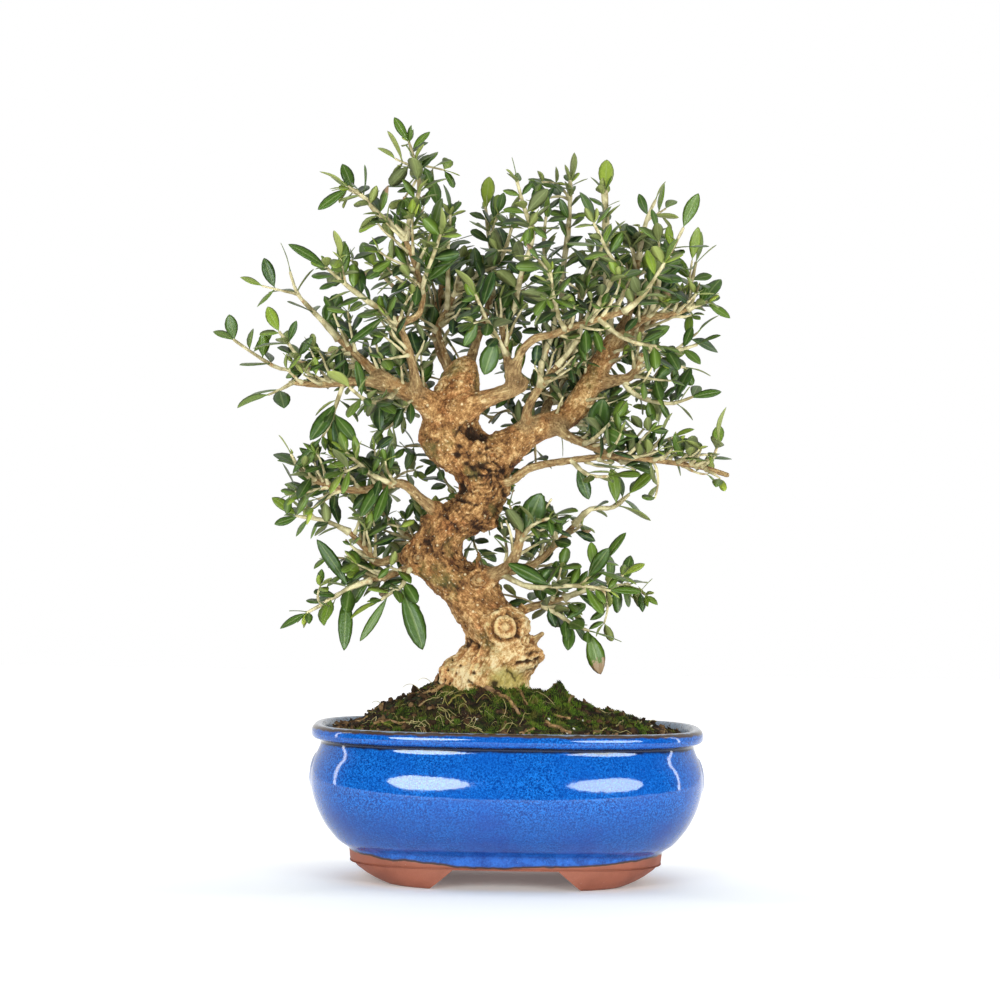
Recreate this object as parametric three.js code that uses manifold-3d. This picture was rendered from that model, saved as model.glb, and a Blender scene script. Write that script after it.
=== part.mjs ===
// Olive bonsai: a gnarled trunk with its limbs, leafy branches, a mound of soil
// and a footed oval pot with two drainage screens.
// Millimetres, +Z up, the front of the pot towards -Y.

import * as THREE from "three";
import { mergeVertices } from "three/addons/utils/BufferGeometryUtils.js";
import Module from "manifold-3d";

const wasm = await Module();
wasm.setup();

// ---------------------------------------------------------------- dimensions

const GAP = 0.3; // clear space between neighbouring pieces

// pot
const RIM_HALF_WIDTH = 102;
const RIM_HALF_DEPTH = 76.5;
const RIM_TOP = 81.3;
const PLAN_POWER = 2.9; // squareness of the plan, 2 would be an ellipse
const POT_SIDES = 32;
const FLOOR_TOP = 17;
const FLOOR_UNDERSIDE = 10.5;
const HOLE_RADIUS = 7;
const HOLE_X = 38;
const FOOT_END_INSET = 38.5; // how far in from the rim a foot stands, at the pot's ends
const FOOT_FRONT_INSET = 20.5; // and at its front and back
const FOOT_INNER_TOP = 27; // where a foot's inner edge meets the plinth
const FOOT_INNER_BOTTOM = 40;
const SIDE_GAP_TOP = 14; // the same edge on the short sides
const SIDE_GAP_BOTTOM = 24;

// drainage screens
const SCREEN_SIZE = 22;
const SCREEN_THICKNESS = 1;

// soil
const SOIL_EDGE_Z = 77;
const MOUND_X = -16;
const MOUND_Y = 4;
const MOUND_HEIGHT = 29;
const MOUND_SPREAD_X = 42;
const MOUND_SPREAD_Y = 34;
const HUMP_X = 56; // a low mossy hump beside the tree
const HUMP_Y = -2;
const HUMP_HEIGHT = 6;
const HUMP_SPREAD = 17;
const LUMP_HEIGHT = 0.9;
const SOIL_HALF_WIDTH = 94; // where the soil has come down to its level edge
const SOIL_HALF_DEPTH = 68.5;
const SOIL_RINGS = [0.8, 0.56, 0.32]; // rings of the top, as shares of the edge

// trunk
const TRUNK_SIDES = 18;
const ROOT_Z = 86; // the underside of the trunk, down in the soil

// leaves
const LEAF_THICKNESS = 1;
const LEAF_LENGTH_MIN = 12;
const LEAF_LENGTH_SPAN = 9;
const LEAF_CLEARANCE = 3.2; // between the sampled points of two leaves
const TWIG_CLEARANCE = 2.6; // between a leaf and a twig's axis
const WOOD_CLEARANCE = 1.8; // between a leaf and a limb's bark
const SHOOT_LENGTH = 17;
const SHOOT_RADIUS = 0.75;
const SAMPLE_STEP = 2.5;
const SHOOT_CLEARANCE = 6; // between a side shoot and another branch
const OWN_CLEARANCE = 3.5; // between a side shoot and its own branch
const SHOOT_FROM_WOOD = 4;
const PAIR_TILT = 0.95; // radians between a paired leaf and its twig
const END_TILT = 0.2;

// ------------------------------------------------------------------- materials

const material = (color, roughness) => new THREE.MeshStandardMaterial({ color, roughness, metalness: 0 });

const BARK = material("#b08a5b", 0.85);
const LEAF = material("#3f6a2c", 0.45);
const SOIL = material("#3a2a1c", 0.95);
const GLAZE = material("#1f55b8", 0.12);
const MESH_PLASTIC = material("#20231f", 0.6);

// --------------------------------------------------------------- solid helpers

// A closed three.js geometry as a solid that can be joined and cut.
function toSolid(geometry) {
  const bare = geometry.clone();
  bare.deleteAttribute("normal");
  bare.deleteAttribute("uv");
  const merged = mergeVertices(bare, 1e-5);
  const index = merged.index.array;
  const positions = merged.attributes.position.array;
  const triangles = [];
  let volume = 0;
  const a = new THREE.Vector3();
  const b = new THREE.Vector3();
  const c = new THREE.Vector3();
  for (let i = 0; i < index.length; i += 3) {
    const [p, q, r] = [index[i], index[i + 1], index[i + 2]];
    if (p === q || q === r || r === p) continue;
    a.fromArray(positions, 3 * p);
    b.fromArray(positions, 3 * q);
    c.fromArray(positions, 3 * r);
    volume += a.dot(b.cross(c));
    triangles.push(p, q, r);
  }
  if (volume < 0) triangles.reverse();
  const mesh = new wasm.Mesh({
    numProp: 3,
    vertProperties: Float32Array.from(positions),
    triVerts: Uint32Array.from(triangles),
  });
  return new wasm.Manifold(mesh);
}

function toGeometry(solid) {
  const mesh = solid.getMesh();
  const geometry = new THREE.BufferGeometry();
  geometry.setAttribute("position", new THREE.BufferAttribute(mesh.vertProperties.slice(), 3));
  geometry.setIndex(new THREE.BufferAttribute(mesh.triVerts.slice(), 1));
  return geometry;
}

const join = (solids) => solids.reduce((sum, solid) => sum.add(solid));

// The one body that is left when loose scraps are dropped.
function largestBody(solid) {
  const bodies = solid.decompose();
  return bodies.reduce((best, body) => (body.volume() > best.volume() ? body : best));
}

// A turned solid on the Z axis, bent by `place(ring, angle, share)`: each profile point
// is a ring, and `share` is 0 on the axis and 1 on the surface.
function bentLathe(ringCount, sides, pointed, place) {
  const profile = [new THREE.Vector2(0, 0)];
  const first = pointed ? 1 : 0;
  const last = pointed ? ringCount - 2 : ringCount - 1;
  for (let ring = first; ring <= last; ring += 1) profile.push(new THREE.Vector2(1, ring));
  profile.push(new THREE.Vector2(0, ringCount - 1));
  const geometry = new THREE.LatheGeometry(profile, sides);
  const positions = geometry.attributes.position;
  for (let i = 0; i < positions.count; i += 1) {
    const [x, ring, z] = [positions.getX(i), Math.round(positions.getY(i)), positions.getZ(i)];
    const share = Math.round(Math.hypot(x, z));
    const side = Math.round((Math.atan2(x, z) / (2 * Math.PI)) * sides);
    const point = place(ring, (2 * Math.PI * side) / sides, share);
    positions.setXYZ(i, point.x, point.y, point.z);
  }
  return toSolid(geometry);
}

// Two unit vectors across a path at each of its points, carried along without twist.
function pathFrames(points) {
  const tangents = points.map((point, i) => {
    const before = points[Math.max(i - 1, 0)];
    const after = points[Math.min(i + 1, points.length - 1)];
    return after.clone().sub(before).normalize();
  });
  const across = new THREE.Vector3(0.3, 1, 0.1).cross(tangents[0]).normalize();
  const frames = [];
  for (let i = 0; i < points.length; i += 1) {
    if (i > 0) {
      across.applyQuaternion(new THREE.Quaternion().setFromUnitVectors(tangents[i - 1], tangents[i]));
    }
    frames.push([across.clone(), tangents[i].clone().cross(across).normalize()]);
  }
  return frames;
}

// A rod along points, with a straight taper, a little grain and `grow` more all round.
function rod(points, [startRadius, endRadius], sides, swell = 0, grow = 0) {
  const frames = pathFrames(points);
  const extra = grow / Math.cos(Math.PI / sides);
  return bentLathe(points.length, sides, false, (ring, angle, share) => {
    const along = ring / (points.length - 1);
    const grain = 1 + swell * Math.sin(3 * angle + 2.1 * ring) + swell * Math.cos(2 * angle - 1.3 * ring);
    const radius = share * (grain * THREE.MathUtils.lerp(startRadius, endRadius, along) + extra);
    const [across, up] = frames[ring];
    return points[ring]
      .clone()
      .addScaledVector(across, radius * Math.cos(angle))
      .addScaledVector(up, radius * Math.sin(angle));
  });
}

const vectors = (rows) => rows.map((row) => new THREE.Vector3(...row));

// --------------------------------------------------------------------- the pot

// A point of the pot's plan: a rounded rectangle drawn in by `inset` from the rim, and by
// `insetDepth` from its front and back.
function planPoint(angle, inset, z, insetDepth = inset) {
  const [cosine, sine] = [Math.cos(angle), Math.sin(angle)];
  const reach = (Math.abs(cosine) ** PLAN_POWER + Math.abs(sine) ** PLAN_POWER) ** (-1 / PLAN_POWER);
  return new THREE.Vector3(
    (RIM_HALF_WIDTH - inset) * reach * cosine,
    (RIM_HALF_DEPTH - insetDepth) * reach * sine,
    z,
  );
}

// A solid of the pot's plan whose profile gives [inset, z, insetDepth] from bottom to top.
function planSolid(profile, sides = POT_SIDES) {
  return bentLathe(profile.length, sides, false, (ring, angle, share) => {
    const [inset, z, insetDepth] = profile[ring];
    return share ? planPoint(angle, inset, z, insetDepth) : new THREE.Vector3(0, 0, z);
  });
}

const OUTER_PROFILE = [
  [21, FLOOR_UNDERSIDE],
  [20.5, 17],
  [14.5, 21.5],
  [6.5, 31],
  [1, 43.5],
  [-0.4, 53],
  [1.2, 64],
  [4.2, 71.8],
  [0.4, 74.6],
  [0, 79.3],
  [1.8, RIM_TOP],
];

// The inside of the pot: a lip that leans in, then a wall about 6 mm thick.
const CAVITY_PROFILE = [
  [27, FLOOR_TOP],
  [18, 24],
  [9.5, 37],
  [6, 52],
  [8.6, 72],
  [6.8, RIM_TOP + 1],
];

// A prism whose section is a trapezium, standing across the plinth to part two feet.
function footGap(halfTop, halfBottom, alongX) {
  const section = new THREE.Shape();
  section.moveTo(-halfBottom, -1);
  section.lineTo(halfBottom, -1);
  section.quadraticCurveTo(halfTop + 3, FLOOR_UNDERSIDE - 3, halfTop, FLOOR_UNDERSIDE);
  section.lineTo(-halfTop, FLOOR_UNDERSIDE);
  section.quadraticCurveTo(-halfTop - 3, FLOOR_UNDERSIDE - 3, -halfBottom, -1);
  const depth = 3 * RIM_HALF_WIDTH;
  const prism = new THREE.ExtrudeGeometry(section, { depth, bevelEnabled: false, curveSegments: 3 });
  prism.translate(0, 0, -depth / 2);
  prism.rotateX(Math.PI / 2);
  if (alongX) prism.rotateZ(Math.PI / 2);
  return toSolid(prism);
}

function makePot() {
  const footWall = 20; // how far a foot reaches in under the pot
  const skirt = planSolid([
    [FOOT_END_INSET, 0, FOOT_FRONT_INSET + 1.5],
    [29, 4, FOOT_FRONT_INSET + 0.6],
    [21, FLOOR_UNDERSIDE + 1],
  ]);
  const hollow = planSolid([
    [FOOT_END_INSET + footWall, -1],
    [FOOT_END_INSET + footWall - 4, FLOOR_UNDERSIDE],
  ]);
  const feet = skirt
    .subtract(hollow)
    .subtract(footGap(FOOT_INNER_TOP, FOOT_INNER_BOTTOM, false))
    .subtract(footGap(SIDE_GAP_TOP, SIDE_GAP_BOTTOM, true));
  let pot = planSolid(OUTER_PROFILE).subtract(planSolid(CAVITY_PROFILE)).add(feet);
  for (const x of [-HOLE_X, HOLE_X]) {
    const drill = new THREE.CylinderGeometry(HOLE_RADIUS, HOLE_RADIUS, 30, 14);
    drill.rotateX(Math.PI / 2);
    drill.translate(x, 0, FLOOR_TOP - 5);
    pot = pot.subtract(toSolid(drill));
  }
  return pot;
}

function makeScreen(x, grow = 0) {
  const size = SCREEN_SIZE + 2 * grow;
  const plate = new THREE.BoxGeometry(size, size, SCREEN_THICKNESS + 2 * grow);
  plate.translate(x, 0, FLOOR_TOP + GAP + SCREEN_THICKNESS / 2);
  return toSolid(plate);
}

// -------------------------------------------------------------------- the soil

// Height of the soil: a mound off centre, a mossy hump on the right and small lumps.
function soilHeight(x, y) {
  const reachX = (x - MOUND_X) / MOUND_SPREAD_X;
  const reachY = (y - MOUND_Y) / MOUND_SPREAD_Y;
  const mound = MOUND_HEIGHT * Math.exp(-(reachX ** 2 + reachY ** 2) / 2);
  const humpReach = Math.hypot(x - HUMP_X, y - HUMP_Y) / HUMP_SPREAD;
  const hump = HUMP_HEIGHT * Math.exp(-(humpReach ** 2) / 2);
  const lumps = LUMP_HEIGHT * Math.sin(0.21 * x + 1.3) * Math.cos(0.24 * y + 0.4);
  const edgeX = Math.max(0, 1 - (x / SOIL_HALF_WIDTH) ** 4);
  const edgeY = Math.max(0, 1 - (y / SOIL_HALF_DEPTH) ** 4);
  const edge = edgeX * edgeY;
  return SOIL_EDGE_Z + edge * (mound + hump + lumps);
}

function makeSoil() {
  const below = CAVITY_PROFILE.filter(([, z]) => z < SOIL_EDGE_Z);
  const wall = below.map(([inset, z]) => [inset + GAP, z]);
  wall[0][1] += GAP;
  wall.push([wall[wall.length - 1][0], SOIL_EDGE_Z]);
  const ringCount = wall.length + SOIL_RINGS.length;
  return bentLathe(ringCount, POT_SIDES, false, (ring, angle, share) => {
    if (ring < wall.length) {
      const [inset, z] = wall[ring];
      return share ? planPoint(angle, inset, z) : new THREE.Vector3(0, 0, z);
    }
    const edge = planPoint(angle, wall[wall.length - 1][0], 0);
    const x = share * edge.x * SOIL_RINGS[ring - wall.length];
    const y = share * edge.y * SOIL_RINGS[ring - wall.length];
    return new THREE.Vector3(x, y, soilHeight(x, y));
  });
}

// ------------------------------------------------------------------- the trunk

// Level slices of the trunk from the soil to the crotch: x, y, z, half-width, half-depth.
const TRUNK_SLICES = [
  [-13, 1, ROOT_Z, 22, 19],
  [-13, 1, 98, 22, 19],
  [-12, 0, 104, 20.5, 18],
  [-9, 0, 111, 20, 18],
  [-5, 0, 118, 19, 17],
  [-4, 0, 124, 16, 15.5],
  [-6, -1, 130, 16.5, 16],
  [-8.5, -1, 136, 18.5, 17],
  [-15, 0, 142, 17.5, 16],
  [-20.5, 1, 148, 17, 15],
  [-26, 2, 155, 18.5, 15.5],
  [-31, 3, 161, 19, 15.5],
  [-37.5, 3, 167, 16, 15],
  [-38.5, 3, 173, 13.5, 14.5],
  [-36, 2, 179, 13, 14.5],
  [-27.5, 1, 185, 17.5, 15.5],
  [-25.5, 0, 190, 17.5, 15.5],
  [-20, -1, 195.5, 14.8, 14],
  [-15.5, -1, 201, 12.8, 12.5],
  [-14.2, -1, 206, 12.6, 12],
  [-17, -1, 212, 13.6, 12.5],
  [-22, 0, 218, 17, 14],
  [-24, 0, 224, 19, 15],
  [-27, 0, 230, 18.5, 15],
  [-32, 0, 237, 14, 14],
  [-32, 1, 246, 13.5, 13],
  [-30, 2, 254, 12.3, 11.5],
  [-27, 3, 264, 9.5, 9],
  [-25, 4, 272, 6, 5.5],
];

// Swellings and knots of the bark: x, y, z, how far it stands out and its size.
const BURLS = [
  [-34, -4, 112, 7, 7],
  [-30, 14, 110, 4, 9],
  [17, -6, 117, 7.5, 7],
  [14, 12, 110, 4, 8],
  [-2, -17, 133, 4, 6.5],
  [-16, -13, 157, 3, 5],
  [-54, -2, 168, 4, 6],
  [-10, -12, 182, 5, 6],
  [-44, -4, 190, 4.5, 5],
  [-16, -14, 213, 4, 4.5],
  [-44, -6, 227, 3.5, 8],
  [-4, -4, 220, 3, 6],
];

// Woody limbs that are one piece with the trunk.  radius: at the root and at the end.
const LIMBS = {
  A: {
    radius: [8.5, 4.6],
    path: [[-33, -1, 238], [-41, -4, 247], [-50, -8, 253], [-58, -10, 256], [-70, -14, 261]],
  },
  A1: {
    radius: [4.2, 2.2],
    path: [[-66, -12, 259], [-80, -19, 259.5], [-100, -27, 257], [-115, -32, 258]],
  },
  A2: {
    radius: [4.2, 2.4],
    path: [[-66, -13, 259], [-78, -11, 270], [-86, -8, 277], [-93, -5, 283]],
  },
  B1: {
    radius: [5, 2.4],
    path: [[-28, 5, 262], [-36, 17, 272], [-41, 28, 286], [-41, 37, 302], [-37, 43, 318]],
  },
  B2: {
    radius: [4.5, 2.4],
    path: [[-25, 5, 264], [-21, 17, 278], [-16, 27, 294], [-12, 34, 310]],
  },
  B3: {
    radius: [5, 2.6],
    path: [[-36, 6, 242], [-47, 22, 249], [-58, 36, 255], [-70, 47, 262]],
  },
  F: {
    radius: [3, 2.2],
    path: [[-30, 8, 262], [-37, 14, 278], [-40, 15, 290], [-35, 14, 300], [-29, 12, 312]],
  },
  C: {
    radius: [7, 4.2],
    path: [[-30, -5, 243], [-20, -8, 249], [-10, -9, 253], [3, -10, 258], [5, -10, 262]],
  },
  C1: {
    radius: [3.4, 2.4],
    path: [[0, -10, 257], [-3, -12, 270], [-5, -14, 282], [-7, -15, 293]],
  },
  D: {
    radius: [9.2, 6.4],
    path: [
      [-12, 0, 219], [3, 2, 231], [15, 4, 237.5], [25, 6, 241], [33, 8, 248], [40, 9, 259],
      [47, 11, 273], [53, 12, 284],
    ],
  },
  D1: {
    radius: [4, 2.8],
    path: [[7, 2, 235], [8, -2, 247], [14, -4, 258], [22, -5, 268], [31, -6, 279]],
  },
  D2: {
    radius: [4.2, 2.6],
    path: [[20, 5, 240], [28, 0, 234], [38, -4, 229], [48, -7, 225], [58, -9, 220]],
  },
  D3: {
    radius: [3.6, 2],
    path: [
      [-10, -5, 207], [0, -11, 209], [10, -14, 216], [30, -19, 220], [54, -23, 222.5],
      [80, -26, 220], [98, -28, 217.5], [112, -30, 213.5],
    ],
  },
  D4: {
    radius: [4.6, 2.6],
    path: [[18, 6, 240], [18, 22, 248], [22, 36, 256], [27, 50, 264]],
  },
  D5: {
    radius: [4.4, 2.4],
    path: [[50, 12, 276], [58, 24, 284], [69, 35, 292], [80, 44, 300]],
  },
  D6: {
    radius: [4.4, 2.4],
    path: [[52, 12, 282], [60, 19, 297], [64, 26, 313], [66, 32, 330]],
  },
  E: {
    radius: [4.4, 2.7],
    path: [[-51, -8, 253], [-51, -16, 262], [-53, -22, 271], [-56, -27, 281], [-61, -32, 291]],
  },
  E1: {
    radius: [2.8, 2.2],
    path: [
      [-60, -31, 290], [-50, -33, 293], [-47, -36, 303], [-50, -38, 315], [-54, -40, 326],
      [-58, -40, 335],
    ],
  },
  H: {
    radius: [3.6, 2.6],
    path: [
      [0, -11, 264], [4, -16, 276], [11, -20, 283], [20, -24, 285], [30, -27, 289], [40, -30, 292],
      [58, -35, 297.5],
    ],
  },
  J: {
    radius: [4.4, 2.2],
    path: [[51, 11, 281], [62, 6, 291], [70, 2, 296], [80, -1, 297], [92, -3, 301]],
  },
  K: {
    radius: [5, 3],
    path: [[42, 9, 262], [54, 8, 263], [63, 6, 266], [68, 5, 277]],
  },
  G: {
    radius: [4.4, 2.4],
    path: [[-20, 8, 186], [-20, 22, 193], [-17, 37, 200], [-11, 50, 208]],
  },
  G1: {
    radius: [4.2, 2.2],
    path: [[-36, 10, 170], [-47, 22, 175], [-57, 33, 181]],
  },
  G2: {
    radius: [4.2, 2.2],
    path: [[-4, 4, 226], [5, 19, 233], [16, 32, 238], [28, 42, 241]],
  },
  L1: {
    radius: [4.6, 2.2],
    path: [
      [-36, -6, 190], [-47, -13, 199], [-56, -16, 206.5], [-66, -18, 205.5], [-78, -19, 203],
      [-90, -20, 204], [-105, -22, 208.5],
    ],
  },
  L2: {
    radius: [4.4, 2.2],
    path: [[-45, 4, 166], [-58, 8, 168], [-70, 8, 165], [-76, 8, 172], [-86, 8, 182]],
  },
  L3: {
    radius: [3.8, 2.2],
    path: [[-42, -3, 165], [-53, -5, 163], [-64, -8, 158], [-74, -11, 156]],
  },
  R1: {
    radius: [5.4, 3.8],
    path: [[-16, -6, 158], [-5, -12, 162], [1, -16, 167], [4, -18, 176], [5, -18, 184]],
  },
  R2: {
    radius: [4.4, 2.2],
    path: [[-14, 2, 156], [-3, 7, 161], [12, 9, 165], [24, 10, 176], [35, 10, 188]],
  },
  R4: {
    radius: [4.2, 2.4],
    path: [[-2, 4, 137], [7, 9, 141], [16, 12, 144], [30, 16, 148]],
  },
  STUB: {
    radius: [4.5, 1.6],
    path: [[8, -4, 121], [13, -6, 126], [18, -7, 130]],
  },
};

const THICK_LIMB = 6.5; // a root radius from which a limb gets more sides
const LIMB_GRAIN = 0.04;

function slicedTrunk(grow) {
  const extra = grow / Math.cos(Math.PI / TRUNK_SIDES);
  return bentLathe(TRUNK_SLICES.length, TRUNK_SIDES, false, (ring, angle, share) => {
    const [x, y, z, halfWidth, halfDepth] = TRUNK_SLICES[ring];
    const flutes = 1 + 0.045 * Math.sin(5 * angle + 0.09 * z) + 0.05 * Math.cos(3 * angle - 0.13 * z);
    const outward = new THREE.Vector3(Math.cos(angle), Math.sin(angle), 0);
    const point = new THREE.Vector3(x, y, ring === 0 ? z - grow : z);
    point.x += share * flutes * halfWidth * outward.x;
    point.y += share * flutes * halfDepth * outward.y;
    let swelling = 0;
    for (const [bx, by, bz, height, size] of BURLS) {
      const distance = point.distanceTo(new THREE.Vector3(bx, by, bz));
      swelling += height * Math.exp(-(distance ** 2) / (2 * size ** 2));
    }
    return point.addScaledVector(outward, share * (swelling + extra));
  });
}

function limb({ path, radius }, grow) {
  const sides = radius[0] > THICK_LIMB ? 8 : 5;
  const points = vectors(path);
  if (grow > 0) {
    const last = points.length - 1;
    const onward = points[last].clone().sub(points[last - 1]).normalize();
    points[last].addScaledVector(onward, grow);
  }
  return rod(points, radius, sides, LIMB_GRAIN, grow);
}

// The woody body, or with `grow` the space that it needs with a gap all round.
function makeTrunk(grow = 0) {
  const pieces = [slicedTrunk(grow)];
  for (const spec of Object.values(LIMBS)) pieces.push(limb(spec, grow));
  return join(pieces);
}

// ---------------------------------------------------------- the leafy branches

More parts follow.
